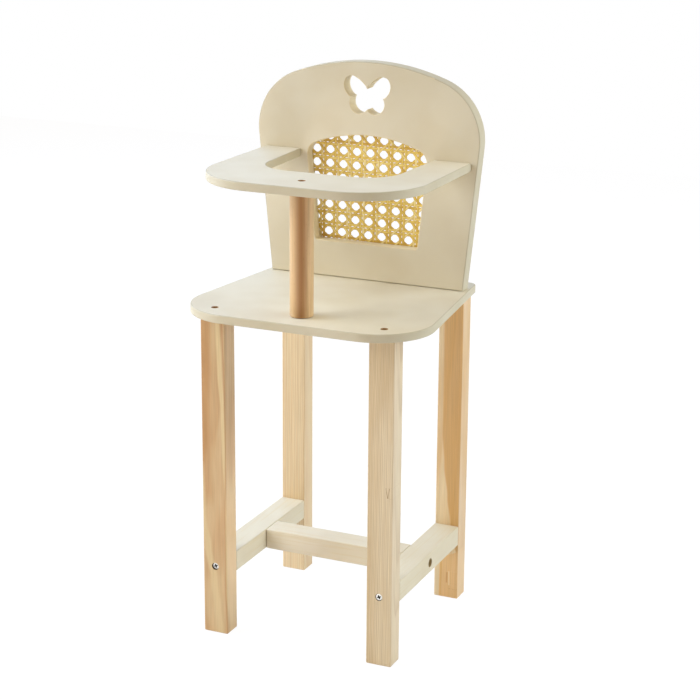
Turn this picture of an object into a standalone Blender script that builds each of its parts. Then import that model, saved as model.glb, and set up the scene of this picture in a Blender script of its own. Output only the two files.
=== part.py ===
"""Doll high chair: pine legs and painted rails carry a painted seat board, a backrest with a cane window,
and a tray on a round post. Metres, +Z up, the front faces -Y, the floor is Z = 0."""

import math

import bmesh
import bpy
from mathutils import Matrix, Vector

# Clearances
FIT_GAP = 0.0003  # between two pieces that touch
CUT_OVERRUN = 0.001  # how far a cut runs past the face that it opens

# Rectangular stock of the legs and rails
STOCK_WIDE = 0.0282
STOCK_DEEP = 0.0225
STOCK_ROUND = 0.0012
FRAME_WIDE = 0.2194  # over the legs, left to right
LEG_LONG = 0.3544
RAIL_TOP = 0.0880  # height of the rails' upper faces

# Seat board
SEAT_THICK = 0.009
SEAT_LEDGE = 0.0260  # of the seat behind the backrest
SEAT_FRONT_WIDE = 0.2834  # where the sides would meet the front line
SEAT_REAR_WIDE = 0.2300
SEAT_FRONT_CORNER = 0.0604
SEAT_REAR_CORNER = 0.010
SEAT_FRONT_OVERHANG = 0.0206  # past the front legs
SEAT_REAR_OVERHANG = 0.0035  # past the rear legs
BOARD_ROUND = 0.0012

# Backrest board
BACK_THICK = 0.016
BACK_TALL = 0.2395
BACK_FROM_FRONT = 0.1965  # from the seat's front edge to the backrest's front face
BACK_FOOT_WIDE = 0.2278
BACK_SHOULDER_WIDE = 0.2762  # where the sides would reach the top
BACK_SHOULDER_CORNER = 0.0669
BACK_CROWN_RADIUS = 0.2460

# Window for the cane, and the rebate behind it
WINDOW_SILL = 0.0404  # from the backrest's foot to the window
WINDOW_TALL = 0.1195
WINDOW_BORDER = 0.0578  # board left beside the window
WINDOW_SHOULDER_CORNER = 0.0142
WINDOW_ARCH_RADIUS = 0.1635
WINDOW_SILL_CORNER = 0.003
REBATE_DEEP = 0.0048
REBATE_LIP = 0.008  # how far the rebate reaches past the window's edge
FRAME_HIDE = 0.001  # how far the retaining frame stays back from the window's edge

# Butterfly cut-out
BUTTERFLY_BASE = 0.1831  # from the backrest's foot
BUTTERFLY_WIDE = 0.0533
BUTTERFLY_TALL = 0.0407
# Outline of the right half as shares of half the width and of the height, in two runs that end at its notches.
UPPER_WING_SHARES = (
    (0.0, 0.668), (0.093, 0.76), (0.264, 0.867), (0.44, 0.944), (0.61, 0.995), (0.763, 0.998),
    (0.912, 0.94), (1.0, 0.794), (0.976, 0.642), (0.883, 0.533), (0.767, 0.46), (0.689, 0.441),
)
LOWER_WING_SHARES = (
    (0.689, 0.441), (0.735, 0.36), (0.752, 0.266), (0.704, 0.15), (0.577, 0.053), (0.41, 0.0),
    (0.261, 0.005), (0.112, 0.053), (0.0, 0.121),
)

# Cane webbing
CANE_THICK = 0.0016
CANE_PITCH_ACROSS = 0.01585
CANE_PITCH_UP = 0.0152
CANE_HOLE = 0.0092  # across the flats
CANE_COLUMN_SHIFT = -0.0024  # of the middle column of holes from the middle of the window
CANE_FIRST_ROW = 0.0084  # from the window's sill to its lowest row of holes
CANE_MARGIN = 0.0015  # least cane left between a hole and the sheet's edge

# Tray board
TRAY_THICK = 0.009
TRAY_BEHIND = 0.0015  # how far its front edge stays behind the seat's
TRAY_FRONT_WIDE = 0.2426
TRAY_REAR_WIDE = 0.2410
TRAY_FRONT_CORNER = 0.0748
TRAY_LAP_DEEP = 0.0748  # from the front edge to the waist cut-out
WAIST_FRONT_WIDE = 0.1467
WAIST_REAR_WIDE = 0.1570
WAIST_CORNER = 0.0382

# Round post between seat and tray
POST_ACROSS = 0.0246
POST_LONG = 0.1309
POST_FROM_TRAY_FRONT = 0.034
POST_ROUND = 0.0012

# Countersunk screws
HEAD_ACROSS = 0.0070
HEAD_TALL = 0.0021
HEAD_RIM = 0.0004
SHANK_ACROSS = 0.0038
POINT_LONG = 0.0045
CROSS_LONG = 0.0042
CROSS_SLOT = 0.0011
CROSS_DEEP = 0.0016
CROSS_TAPER_SHARE = 0.45
RECESS_ACROSS = 0.0080
LEG_SCREW_LONG = 0.045
LEG_SCREW_SINK = 0.0005
LEG_SCREW_SINK_DEEPER = 0.0016  # the front left one went in further
CROSS_SCREW_LONG = 0.050
CROSS_SCREW_SINK = 0.005
BOARD_SCREW_LONG = 0.035
BOARD_SCREW_SINK = 0.0035
TRAY_SCREW_LONG = 0.040
TRAY_SCREW_SINK = 0.003
SEAT_SCREW_INSET = 0.006  # from the outer face of the leg that it holds
BACK_SCREW_SPACING = 0.060

# Wooden locating dowels
DOWEL_ACROSS = 0.006
DOWEL_LONG = 0.024
DOWEL_BOARD_DEPTH = 0.0055  # how far a leg's or the backrest's dowel goes into the seat board
DOWEL_CHAMFER = 0.0006
DOWEL_BESIDE_SCREW = 0.0075
DOWEL_SPACING_BACK = 0.070

# Facets: counts, not sizes
TURNED_SIDES = 14
POST_SIDES = 40
LARGE_CORNER_STEPS = 12
SMALL_CORNER_STEPS = 4
CROWN_STEPS = 14
WING_STEPS = 2
ROUND_SEGMENTS = 2
OCTAGON_SIDES = 8
CROSS_ARMS = 2

# Places worked out from the sizes
SEAT_DEEP = BACK_FROM_FRONT + BACK_THICK + SEAT_LEDGE
FRAME_DEEP = SEAT_DEEP - SEAT_FRONT_OVERHANG - SEAT_REAR_OVERHANG  # over the legs, front to rear
SEAT_FRONT_Y = -SEAT_DEEP / 2
SEAT_REAR_Y = SEAT_FRONT_Y + SEAT_DEEP
SEAT_UNDERSIDE_Z = LEG_LONG + FIT_GAP
SEAT_TOP_Z = SEAT_UNDERSIDE_Z + SEAT_THICK
LEG_FRONT_Y = SEAT_FRONT_Y + SEAT_FRONT_OVERHANG
LEG_REAR_Y = LEG_FRONT_Y + FRAME_DEEP
LEG_X = (FRAME_WIDE - STOCK_WIDE) / 2
FRONT_LEG_Y = LEG_FRONT_Y + STOCK_DEEP / 2
REAR_LEG_Y = LEG_REAR_Y - STOCK_DEEP / 2
RAIL_Z = RAIL_TOP - STOCK_DEEP / 2
RAIL_Y = (LEG_FRONT_Y + LEG_REAR_Y) / 2
SIDE_RAIL_LONG = FRAME_DEEP - 2 * STOCK_DEEP - 2 * FIT_GAP
CROSS_RAIL_LONG = FRAME_WIDE - 2 * STOCK_WIDE - 2 * FIT_GAP
BACK_FRONT_Y = SEAT_FRONT_Y + BACK_FROM_FRONT
BACK_Y = BACK_FRONT_Y + BACK_THICK / 2
BACK_REAR_Y = BACK_FRONT_Y + BACK_THICK
BACK_FOOT_Z = SEAT_TOP_Z + FIT_GAP
TRAY_FRONT_Y = SEAT_FRONT_Y + TRAY_BEHIND
TRAY_REAR_Y = BACK_FRONT_Y - FIT_GAP
TRAY_UNDERSIDE_Z = SEAT_TOP_Z + POST_LONG + 2 * FIT_GAP
TRAY_TOP_Z = TRAY_UNDERSIDE_Z + TRAY_THICK
TRAY_Z = (TRAY_UNDERSIDE_Z + TRAY_TOP_Z) / 2
POST_Y = TRAY_FRONT_Y + POST_FROM_TRAY_FRONT
TRAY_ARM_X = (TRAY_REAR_WIDE + WAIST_REAR_WIDE) / 4
SIDES = (("left", -1), ("right", 1))

PAINT = "cream_paint"
PINE = "pine"
BEECH = "beech"
CANE = "cane"
STEEL = "zinc_plated_steel"
DOWEL_WOOD = "dowel_wood"
LOOKS = {
    PAINT: ((0.80, 0.76, 0.63), 0.45, 0.0),
    PINE: ((0.70, 0.50, 0.29), 0.50, 0.0),
    BEECH: ((0.55, 0.34, 0.17), 0.45, 0.0),
    CANE: ((0.62, 0.40, 0.13), 0.50, 0.0),
    STEEL: ((0.72, 0.72, 0.70), 0.28, 1.0),
    DOWEL_WOOD: ((0.72, 0.56, 0.36), 0.65, 0.0),
}


def clear_scene():
    for thing in list(bpy.data.objects):
        bpy.data.objects.remove(thing, do_unlink=True)


def new_collection(name):
    collection = bpy.data.collections.new(name)
    bpy.context.scene.collection.children.link(collection)
    return collection


def make_materials():
    made = {}
    for name, (colour, roughness, metallic) in LOOKS.items():
        material = bpy.data.materials.new(name)
        material.use_nodes = True
        shader = material.node_tree.nodes["Principled BSDF"]
        shader.inputs["Base Color"].default_value = (*colour, 1.0)
        shader.inputs["Roughness"].default_value = roughness
        shader.inputs["Metallic"].default_value = metallic
        material.diffuse_color = (*colour, 1.0)
        made[name] = material
    return made


def filleted(corners, radii, steps):
    """The closed outline through these corners, each one rounded by its own radius."""
    points = []
    count = len(corners)
    for i, corner in enumerate(corners):
        here = Vector(corner)
        before = (Vector(corners[i - 1]) - here).normalized()
        after = (Vector(corners[(i + 1) % count]) - here).normalized()
        if radii[i] == 0:
            points.append(here)
            continue
        half = before.angle(after) / 2
        centre = here + (before + after).normalized() * radii[i] / math.sin(half)
        start = here + before * radii[i] / math.tan(half) - centre
        sweep = (math.pi - 2 * half) * (-1 if before.cross(after) > 0 else 1)
        for step in range(steps[i] + 1):
            turn = Matrix.Rotation(sweep * step / steps[i], 2)
            points.append(centre + turn @ start)
    return points


def crowned(foot_half, lean, foot, top, crown, corner, foot_corner):
    """A symmetric outline with a flat foot, sides that lean out, and round shoulders under a shallow arch.

    foot_half is half the width at height foot, and lean is how far a side goes out for each unit of height.
    """
    slant = math.hypot(1, lean)
    middle = top - crown
    # The shoulder's centre is one corner radius inside both the leaning side and the arch.
    base = foot_half - lean * foot - corner * slant
    a = 1 + lean * lean
    b = 2 * (base * lean - middle)
    c = base * base + middle * middle - (crown - corner) ** 2
    centre_z = (-b + math.sqrt(b * b - 4 * a * c)) / (2 * a)
    centre_x = base + lean * centre_z
    from_side = -math.atan(lean)
    from_arch = math.atan2(centre_z - middle, centre_x)
    half = [Vector((foot_half, foot))]
    if foot_corner:
        corners = [(0, foot), (foot_half, foot), (foot_half + lean * foot_corner * 2, foot + foot_corner * 2)]
        half = filleted(corners, [0, foot_corner, 0], [0, SMALL_CORNER_STEPS, 0])[1:-1]
    for step in range(LARGE_CORNER_STEPS + 1):
        angle = from_side + (from_arch - from_side) * step / LARGE_CORNER_STEPS
        half.append(Vector((centre_x + corner * math.cos(angle), centre_z + corner * math.sin(angle))))
    for step in range(1, CROWN_STEPS // 2 + 1):
        angle = from_arch + (math.pi / 2 - from_arch) * step / (CROWN_STEPS // 2)
        half.append(Vector((crown * math.cos(angle), middle + crown * math.sin(angle))))
    return half + [Vector((-p.x, p.y)) for p in reversed(half[:-1])]


def smooth_run(points):
    """A rounded line through the points, with sharp ends."""
    run = []
    for i in range(len(points) - 1):
        p0, p1, p2 = points[max(i - 1, 0)], points[i], points[i + 1]
        p3 = points[min(i + 2, len(points) - 1)]
        for step in range(WING_STEPS):
            t = step / WING_STEPS
            run.append(
                ((2 * p1) + (p2 - p0) * t + (2 * p0 - 5 * p1 + 4 * p2 - p3) * t**2
                 + (3 * p1 - p0 - 3 * p2 + p3) * t**3) / 2
            )
    return run + [points[-1]]


def butterfly_outline():
    half = []
    for shares in (UPPER_WING_SHARES, LOWER_WING_SHARES):
        run = smooth_run([
            Vector((x * BUTTERFLY_WIDE / 2, BUTTERFLY_BASE + z * BUTTERFLY_TALL)) for x, z in shares
        ])
        half += run if not half else run[1:]
    return half + [Vector((-p.x, p.y)) for p in reversed(half[1:-1])]


def octagon(x, z):
    radius = CANE_HOLE / 2 / math.cos(math.pi / OCTAGON_SIDES)
    angles = [(i + 1 / 2) * 2 * math.pi / OCTAGON_SIDES for i in range(OCTAGON_SIDES)]
    return [Vector((x + radius * math.cos(a), z + radius * math.sin(a))) for a in angles]


def mesh_from(thing):
    """The evaluated mesh of an object, welded, with the object removed."""
    graph = bpy.context.evaluated_depsgraph_get()
    mesh = bpy.data.meshes.new_from_object(thing.evaluated_get(graph))
    mesh.name = thing.name
    bpy.data.objects.remove(thing, do_unlink=True)
    shape = bmesh.new()
    shape.from_mesh(mesh)
    bmesh.ops.remove_doubles(shape, verts=shape.verts, dist=FIT_GAP / 100)
    bmesh.ops.recalc_face_normals(shape, faces=shape.faces)
    shape.to_mesh(mesh)
    shape.free()
    return mesh


def merge_flat_faces(mesh):
    """Makes one face of each flat cap, so that a cut with it leaves no needless points where its edges cross."""
    shape = bmesh.new()
    shape.from_mesh(mesh)
    bmesh.ops.dissolve_limit(shape, angle_limit=math.radians(1), verts=shape.verts, edges=shape.edges)
    shape.to_mesh(mesh)
    shape.free()


def round_rims(mesh, radius):
    """Rounds the edges where a board's flat faces meet its walls."""
    shape = bmesh.new()
    shape.from_mesh(mesh)
    bmesh.ops.dissolve_limit(shape, angle_limit=math.radians(1), verts=shape.verts, edges=shape.edges)
    rims = [
        edge for edge in shape.edges
        if len(edge.link_faces) == 2
        and sorted(abs(face.normal.z) > 1 / 2 for face in edge.link_faces) == [False, True]
    ]
    bmesh.ops.bevel(
        shape, geom=rims, offset=radius, segments=ROUND_SEGMENTS, affect="EDGES", profile=1 / 2,
        material=-1, clamp_overlap=False,
    )
    bmesh.ops.triangulate(shape, faces=shape.faces)
    shape.to_mesh(mesh)
    shape.free()


def sheet_mesh(name, outlines, thick, rounding=0):
    """A flat board in the XY plane, centred on Z = 0. The first outline is its edge and the others are holes."""
    curve = bpy.data.curves.new(name, "CURVE")
    curve.dimensions = "2D"
    curve.fill_mode = "BOTH"
    curve.extrude = thick / 2
    for outline in outlines:
        spline = curve.splines.new("POLY")
        spline.points.add(len(outline) - 1)
        for point, place in zip(spline.points, outline):
            point.co = (place.x, place.y, 0, 1)
        spline.use_cyclic_u = True
    guide = bpy.data.objects.new(name, curve)
    bpy.context.scene.collection.objects.link(guide)
    mesh = mesh_from(guide)
    if rounding:
        round_rims(mesh, rounding)
    elif len(outlines) == 1:
        merge_flat_faces(mesh)
    return mesh


def box_mesh(name, size):
    mesh = bpy.data.meshes.new(name)
    shape = bmesh.new()
    bmesh.ops.create_cube(shape, size=1)
    bmesh.ops.scale(shape, verts=shape.verts, vec=size)
    shape.to_mesh(mesh)
    shape.free()
    return mesh


def turned_mesh(name, profile, sides):
    """A solid turned about Z from (radius, height) pairs, listed from the top down."""
    mesh = bpy.data.meshes.new(name)
    mesh.from_pydata([(r, 0, z) for r, z in profile], [(i, i + 1) for i in range(len(profile) - 1)], [])
    guide = bpy.data.objects.new(name, mesh)
    bpy.context.scene.collection.objects.link(guide)
    screw = guide.modifiers.new("Turn", "SCREW")
    screw.steps = screw.render_steps = sides
    screw.use_merge_vertices = True
    screw.merge_threshold = FIT_GAP / 100
    made = mesh_from(guide)
    bpy.data.meshes.remove(mesh)
    made.name = name
    return made


def smooth(mesh):
    mesh.shade_smooth()
    mesh.set_sharp_from_angle(angle=math.radians(35))


class Workshop:
    """Makes the named pieces, and the cutters that shape them."""

    def __init__(self):
        self.parts = new_collection("doll_high_chair")
        self.cutters = new_collection("cutters")
        self.materials = make_materials()
        self.floor_point = bpy.data.objects.new("chair_origin", None)
        self.parts.objects.link(self.floor_point)
        self.shared = {}

    def piece(self, name, mesh, look, place=(0, 0, 0), turn=None, rounding=0):
        thing = bpy.data.objects.new(name, mesh)
        self.parts.objects.link(thing)
        thing.parent = self.floor_point
        thing.location = place
        if turn is not None:
            thing.rotation_euler = turn.to_euler()
        if not mesh.materials:
            mesh.materials.append(self.materials[look])
        smooth(mesh)
        if rounding:
            bevel = thing.modifiers.new("Rounded edges", "BEVEL")
            bevel.width = rounding
            bevel.segments = ROUND_SEGMENTS
            bevel.limit_method = "ANGLE"
            bevel.angle_limit = math.radians(40)
            bevel.use_clamp_overlap = False
        return thing

    def cutter(self, name, mesh, place, turn=None):
        thing = bpy.data.objects.new(name, mesh)
        self.cutters.objects.link(thing)
        thing.hide_render = True
        thing.display_type = "WIRE"
        thing.location = place
        if turn is not None:
            thing.rotation_euler = turn.to_euler()
        return thing

    def cut(self, cutter, *pieces):
        for thing in pieces:
            modifier = thing.modifiers.new(cutter.name, "BOOLEAN")
            modifier.operation = "DIFFERENCE"
            modifier.object = cutter

    def shared_mesh(self, key, make):
        if key not in self.shared:
            self.shared[key] = make()
        return self.shared[key]

    def screw(self, name, surface, way, length, sink, *pieces):
        """A countersunk screw driven along way from a point on a surface, and its stepped hole in the pieces."""
        way = Vector(way)
        turn = Vector((0, 0, -1)).rotation_difference(way).to_matrix()
        head = Vector(surface) + way * sink
        mesh = self.shared_mesh(("screw", length), lambda: self.screw_mesh(length))
        self.piece(name, mesh, STEEL, head, turn)
        hole = self.shared_mesh(("screw hole", length, sink), lambda: screw_hole_mesh(length, sink))
        self.cut(self.cutter(name + "_hole", hole, head, turn), *pieces)

    def screw_mesh(self, length):
        """A screw with its head's flat top at the origin, pointing down -Z, with a cross recess."""
        head, shank = HEAD_ACROSS / 2, SHANK_ACROSS / 2
        profile = [
            (0, 0), (head, 0), (head, -HEAD_RIM), (shank, -HEAD_TALL),
            (shank, POINT_LONG - length), (0, -length),
        ]
        blank = bpy.data.objects.new("screw", turned_mesh("screw", profile, TURNED_SIDES))
        bpy.context.scene.collection.objects.link(blank)
        slots = []
        for arm in range(CROSS_ARMS):
            slot = bpy.data.meshes.new("cross_slot")
            shape = bmesh.new()
            bmesh.ops.create_cube(shape, size=1)
            for vert in shape.verts:
                if vert.co.z < 0:
                    vert.co.x *= CROSS_TAPER_SHARE
            tall = CROSS_DEEP + CUT_OVERRUN
            bmesh.ops.scale(shape, verts=shape.verts, vec=(CROSS_LONG, CROSS_SLOT, tall))
            bmesh.ops.translate(shape, verts=shape.verts, vec=(0, 0, CUT_OVERRUN - tall / 2))
            shape.to_mesh(slot)
            shape.free()
            turn = Matrix.Rotation(math.pi * (arm / CROSS_ARMS + 1 / 8), 3, "Z")
            slots.append(self.cutter("cross_slot", slot, (0, 0, 0), turn))
            self.cut(slots[-1], blank)
        made = mesh_from(blank)
        for slot in slots:
            bpy.data.objects.remove(slot, do_unlink=True)
        return made

    def dowel(self, name, joint, way, deep_ahead, *pieces):
        """A locating dowel across a joint, deep_ahead of it going along way, and its blind hole in both pieces."""
        way = Vector(way)
        turn = Vector((0, 0, 1)).rotation_difference(way).to_matrix()
        centre = Vector(joint) + way * (deep_ahead - DOWEL_LONG / 2)
        mesh = self.shared_mesh("dowel", dowel_mesh)
        self.piece(name, mesh, DOWEL_WOOD, centre, turn)
        hole = self.shared_mesh("dowel hole", dowel_hole_mesh)
        self.cut(self.cutter(name + "_hole", hole, centre, turn), *pieces)


def screw_hole_mesh(length, sink):
    """Recess, cone and bore for a screw whose head's top is at the origin, open above the surface."""
    recess = RECESS_ACROSS / 2
    head = HEAD_ACROSS / 2 + FIT_GAP
    bore = SHANK_ACROSS / 2 + FIT_GAP
    profile = [
        (0, sink + CUT_OVERRUN), (recess, sink + CUT_OVERRUN), (recess, -FIT_GAP), (head, -HEAD_RIM - FIT_GAP),
        (bore, -HEAD_TALL - FIT_GAP), (bore, -length - FIT_GAP), (0, -length - FIT_GAP),
    ]
    return turned_mesh("screw_hole", profile, TURNED_SIDES)


def dowel_mesh():
    radius, half = DOWEL_ACROSS / 2, DOWEL_LONG / 2
    profile = [
        (0, half), (radius - DOWEL_CHAMFER, half), (radius, half - DOWEL_CHAMFER),
        (radius, DOWEL_CHAMFER - half), (radius - DOWEL_CHAMFER, -half), (0, -half),
    ]
    return turned_mesh("dowel", profile, TURNED_SIDES)


def dowel_hole_mesh():
    radius, half = DOWEL_ACROSS / 2 + FIT_GAP, DOWEL_LONG / 2 + FIT_GAP
    return turned_mesh("dowel_hole", [(0, half), (radius, half), (radius, -half), (0, -half)], TURNED_SIDES)


def seat_outline():
    corners = [
        (-SEAT_FRONT_WIDE / 2, SEAT_FRONT_Y), (SEAT_FRONT_WIDE / 2, SEAT_FRONT_Y),
        (SEAT_REAR_WIDE / 2, SEAT_REAR_Y), (-SEAT_REAR_WIDE / 2, SEAT_REAR_Y),
    ]
    radii = [SEAT_FRONT_CORNER] * 2 + [SEAT_REAR_CORNER] * 2
    return filleted(corners, radii, [LARGE_CORNER_STEPS] * 2 + [SMALL_CORNER_STEPS] * 2)


def tray_outline():
    waist_y = TRAY_FRONT_Y + TRAY_LAP_DEEP
    corners = [
        (-TRAY_FRONT_WIDE / 2, TRAY_FRONT_Y), (TRAY_FRONT_WIDE / 2, TRAY_FRONT_Y),
        (TRAY_REAR_WIDE / 2, TRAY_REAR_Y), (WAIST_REAR_WIDE / 2, TRAY_REAR_Y),
        (WAIST_FRONT_WIDE / 2, waist_y), (-WAIST_FRONT_WIDE / 2, waist_y),
        (-WAIST_REAR_WIDE / 2, TRAY_REAR_Y), (-TRAY_REAR_WIDE / 2, TRAY_REAR_Y),
    ]
    radii = [TRAY_FRONT_CORNER] * 2 + [0, 0] + [WAIST_CORNER] * 2 + [0, 0]
    return filleted(corners, radii, [LARGE_CORNER_STEPS if radius else 0 for radius in radii])


def back_lean():
    return (BACK_SHOULDER_WIDE - BACK_FOOT_WIDE) / 2 / BACK_TALL


def back_outline():
    return crowned(
        BACK_FOOT_WIDE / 2, back_lean(), 0, BACK_TALL, BACK_CROWN_RADIUS, BACK_SHOULDER_CORNER, 0
    )


def window_outline(grow=0):
    """The window's edge, or one that runs this far outside it."""
    lean = back_lean()
    foot = WINDOW_SILL - grow
    half = BACK_FOOT_WIDE / 2 + lean * foot - WINDOW_BORDER + grow * math.hypot(1, lean)
    return crowned(
        half, lean, foot, WINDOW_SILL + WINDOW_TALL + grow, WINDOW_ARCH_RADIUS + grow,
        WINDOW_SHOULDER_CORNER + grow, WINDOW_SILL_CORNER + grow,
    )


def inside(point, outline, margin):
    """Whether a point is inside a convex outline, listed anticlockwise, by at least a margin."""
    for i, start in enumerate(outline):
        along = outline[(i + 1) % len(outline)] - start
        if along.length and along.cross(point - start) / along.length < margin:
            return False
    return True


def cane_holes(edge):
    """An octagonal hole at each crossing of the lattice that lies whole inside the sheet."""
    reach = CANE_HOLE / 2 + CANE_MARGIN
    columns = math.ceil(BACK_SHOULDER_WIDE / 2 / CANE_PITCH_ACROSS)
    rows = math.ceil(BACK_TALL / CANE_PITCH_UP)
    holes = []
    for row in range(-1, rows):
        for column in range(-columns, columns + 1):
            x = CANE_COLUMN_SHIFT + column * CANE_PITCH_ACROSS
            z = WINDOW_SILL + CANE_FIRST_ROW + row * CANE_PITCH_UP
            if inside(Vector((x, z)), edge, reach):
                holes.append(octagon(x, z))
    return holes


def post_mesh():
    radius, half = POST_ACROSS / 2, POST_LONG / 2
    profile = [(0, half), (radius - POST_ROUND, half)]
    for end in (1, -1):
        for step in range(1, ROUND_SEGMENTS + 1):
            angle = math.pi / 2 * step / ROUND_SEGMENTS
            across, up = (math.sin(angle), math.cos(angle)) if end > 0 else (math.cos(angle), math.sin(angle))
            profile.append((radius - POST_ROUND * (1 - across), end * (half - POST_ROUND * (1 - up))))
        if end > 0:
            profile.append((radius, POST_ROUND - half))
    profile.append((0, -half))
    return turned_mesh("tray_post", profile, POST_SIDES)


def build():
    shop = Workshop()
    upright = Matrix.Rotation(math.pi / 2, 3, "X")
    stock = STOCK_ROUND

    legs = {}
    for side, sign in SIDES:
        for end, y in (("front", FRONT_LEG_Y), ("rear", REAR_LEG_Y)):
            name = f"{end}_{side}_leg"
            mesh = shop.shared_mesh("leg", lambda: box_mesh("leg", (STOCK_WIDE, STOCK_DEEP, LEG_LONG)))
            legs[end, side] = shop.piece(name, mesh, PINE, (sign * LEG_X, y, LEG_LONG / 2), None, stock)
    rails = {}
    for side, sign in SIDES:
        mesh = shop.shared_mesh("rail", lambda: box_mesh("rail", (STOCK_WIDE, SIDE_RAIL_LONG, STOCK_DEEP)))
        rails[side] = shop.piece(f"{side}_side_rail", mesh, PAINT, (sign * LEG_X, RAIL_Y, RAIL_Z), None, stock)
    mesh = box_mesh("cross_rail", (CROSS_RAIL_LONG, STOCK_WIDE, STOCK_DEEP))
    cross_rail = shop.piece("cross_rail", mesh, PAINT, (0, RAIL_Y, RAIL_Z), None, stock)

    mesh = sheet_mesh("seat_board", [seat_outline()], SEAT_THICK, BOARD_ROUND)
    seat = shop.piece("seat_board", mesh, PAINT, (0, 0, SEAT_TOP_Z - SEAT_THICK / 2))
    outlines = [back_outline(), window_outline(), butterfly_outline()]
    mesh = sheet_mesh("backrest_board", outlines, BACK_THICK, BOARD_ROUND)
    back = shop.piece("backrest_board", mesh, PAINT, (0, BACK_Y, BACK_FOOT_Z), upright)
    mesh = sheet_mesh("tray_board", [tray_outline()], TRAY_THICK, BOARD_ROUND)
    tray = shop.piece("tray_board", mesh, PAINT, (0, 0, TRAY_Z))
    post_z = SEAT_TOP_Z + FIT_GAP + POST_LONG / 2
    post = shop.piece("tray_post", post_mesh(), BEECH, (0, POST_Y, post_z))

    # The rebate is cut from the backrest's rear face. The cane lies on its floor and a thin frame holds it.
    floor_y = BACK_REAR_Y - REBATE_DEEP
    cut_thick = REBATE_DEEP + CUT_OVERRUN
    mesh = sheet_mesh("rebate", [window_outline(REBATE_LIP)], cut_thick)
    shop.cut(shop.cutter("rebate", mesh, (0, floor_y + cut_thick / 2, BACK_FOOT_Z), upright), back)
    edge = window_outline(REBATE_LIP - FIT_GAP)
    cane_y = floor_y + FIT_GAP + CANE_THICK / 2
    mesh = sheet_mesh("cane_panel", [edge] + cane_holes(edge), CANE_THICK)
    shop.piece("cane_panel", mesh, CANE, (0, cane_y, BACK_FOOT_Z), upright)
    frame_thick = REBATE_DEEP - CANE_THICK - 2 * FIT_GAP
    mesh = sheet_mesh("cane_retaining_frame", [edge, window_outline(FRAME_HIDE)], frame_thick)
    frame_place = (0, BACK_REAR_Y - frame_thick / 2, BACK_FOOT_Z)
    shop.piece("cane_retaining_frame", mesh, PAINT, frame_place, upright)

    # Legs to side rails, from the front and from the rear, each with a dowel beside the screw.
    for side, sign in SIDES:
        for end, face, way in (("front", LEG_FRONT_Y, (0, 1, 0)), ("rear", LEG_REAR_Y, (0, -1, 0))):
            leg, rail, centre = legs[end, side], rails[side], sign * LEG_X
            sink = LEG_SCREW_SINK_DEEPER if (end, side) == ("front", "left") else LEG_SCREW_SINK
            name = f"{end}_{side}_leg_screw"
            shop.screw(name, (centre, face, RAIL_Z), way, LEG_SCREW_LONG, sink, leg, rail)
            joint = face + way[1] * STOCK_DEEP
            place = (centre - sign * DOWEL_BESIDE_SCREW, joint, RAIL_Z)
            shop.dowel(f"{end}_{side}_rail_dowel", place, way, DOWEL_LONG / 2, leg, rail)

            # The seat board sits on the leg, held by a screw near the leg's outer face.
            screw_y = face + way[1] * SEAT_SCREW_INSET
            name = f"{end}_{side}_seat_screw"
            shop.screw(name, (centre, screw_y, SEAT_TOP_Z), (0, 0, -1), BOARD_SCREW_LONG, BOARD_SCREW_SINK, seat, leg)
            place = (centre, screw_y + way[1] * (DOWEL_BESIDE_SCREW + FIT_GAP), LEG_LONG)
            shop.dowel(f"{end}_{side}_seat_dowel", place, (0, 0, 1), DOWEL_BOARD_DEPTH, seat, leg)

        # Cross rail to side rail, from outside.
        way = (-sign, 0, 0)
        place = (sign * FRAME_WIDE / 2, RAIL_Y, RAIL_Z)
        name = f"{side}_cross_rail_screw"
        shop.screw(name, place, way, CROSS_SCREW_LONG, CROSS_SCREW_SINK, rails[side], cross_rail)
        place = (sign * (FRAME_WIDE / 2 - STOCK_WIDE), RAIL_Y + DOWEL_BESIDE_SCREW, RAIL_Z)
        shop.dowel(f"{side}_cross_rail_dowel", place, way, DOWEL_LONG / 2, rails[side], cross_rail)

        # Tray arm to backrest, from behind.
        place = (sign * TRAY_ARM_X, BACK_REAR_Y, TRAY_Z)
        name = f"{side}_tray_arm_screw"
        shop.screw(name, place, (0, -1, 0), TRAY_SCREW_LONG, TRAY_SCREW_SINK, back, tray)

        place = (sign * DOWEL_SPACING_BACK / 2, BACK_Y, SEAT_TOP_Z)
        shop.dowel(f"{side}_backrest_dowel", place, (0, 0, -1), DOWEL_BOARD_DEPTH, seat, back)

    # Backrest and post to the seat, from below, and the tray to the post, from above.
    for name, place in (("left", -1), ("middle", 0), ("right", 1)):
        surface = (place * BACK_SCREW_SPACING, BACK_Y, SEAT_UNDERSIDE_Z)
        shop.screw(f"{name}_backrest_screw", surface, (0, 0, 1), BOARD_SCREW_LONG, BOARD_SCREW_SINK, seat, back)
    surface = (0, POST_Y, SEAT_UNDERSIDE_Z)
    shop.screw("post_foot_screw", surface, (0, 0, 1), BOARD_SCREW_LONG, BOARD_SCREW_SINK, seat, post)
    surface = (0, POST_Y, TRAY_TOP_Z)
    shop.screw("tray_screw", surface, (0, 0, -1), BOARD_SCREW_LONG, BOARD_SCREW_SINK, tray, post)


def main():
    clear_scene()
    build()
    bpy.context.view_layer.update()


main()
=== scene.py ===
"""Doll high chair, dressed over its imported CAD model: varnished pine legs, lacquered rails and boards, a
beech post, woven cane, plated cross-recess screws, and a plain studio. Metres, +Z up, the front faces -Y."""

import logging
import math
import random
from dataclasses import dataclass, field
from enum import Enum

import bmesh
import bpy
from bpy.types import Material, Node, NodeSocket, NodeTree
from mathutils import Matrix, Vector


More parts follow.
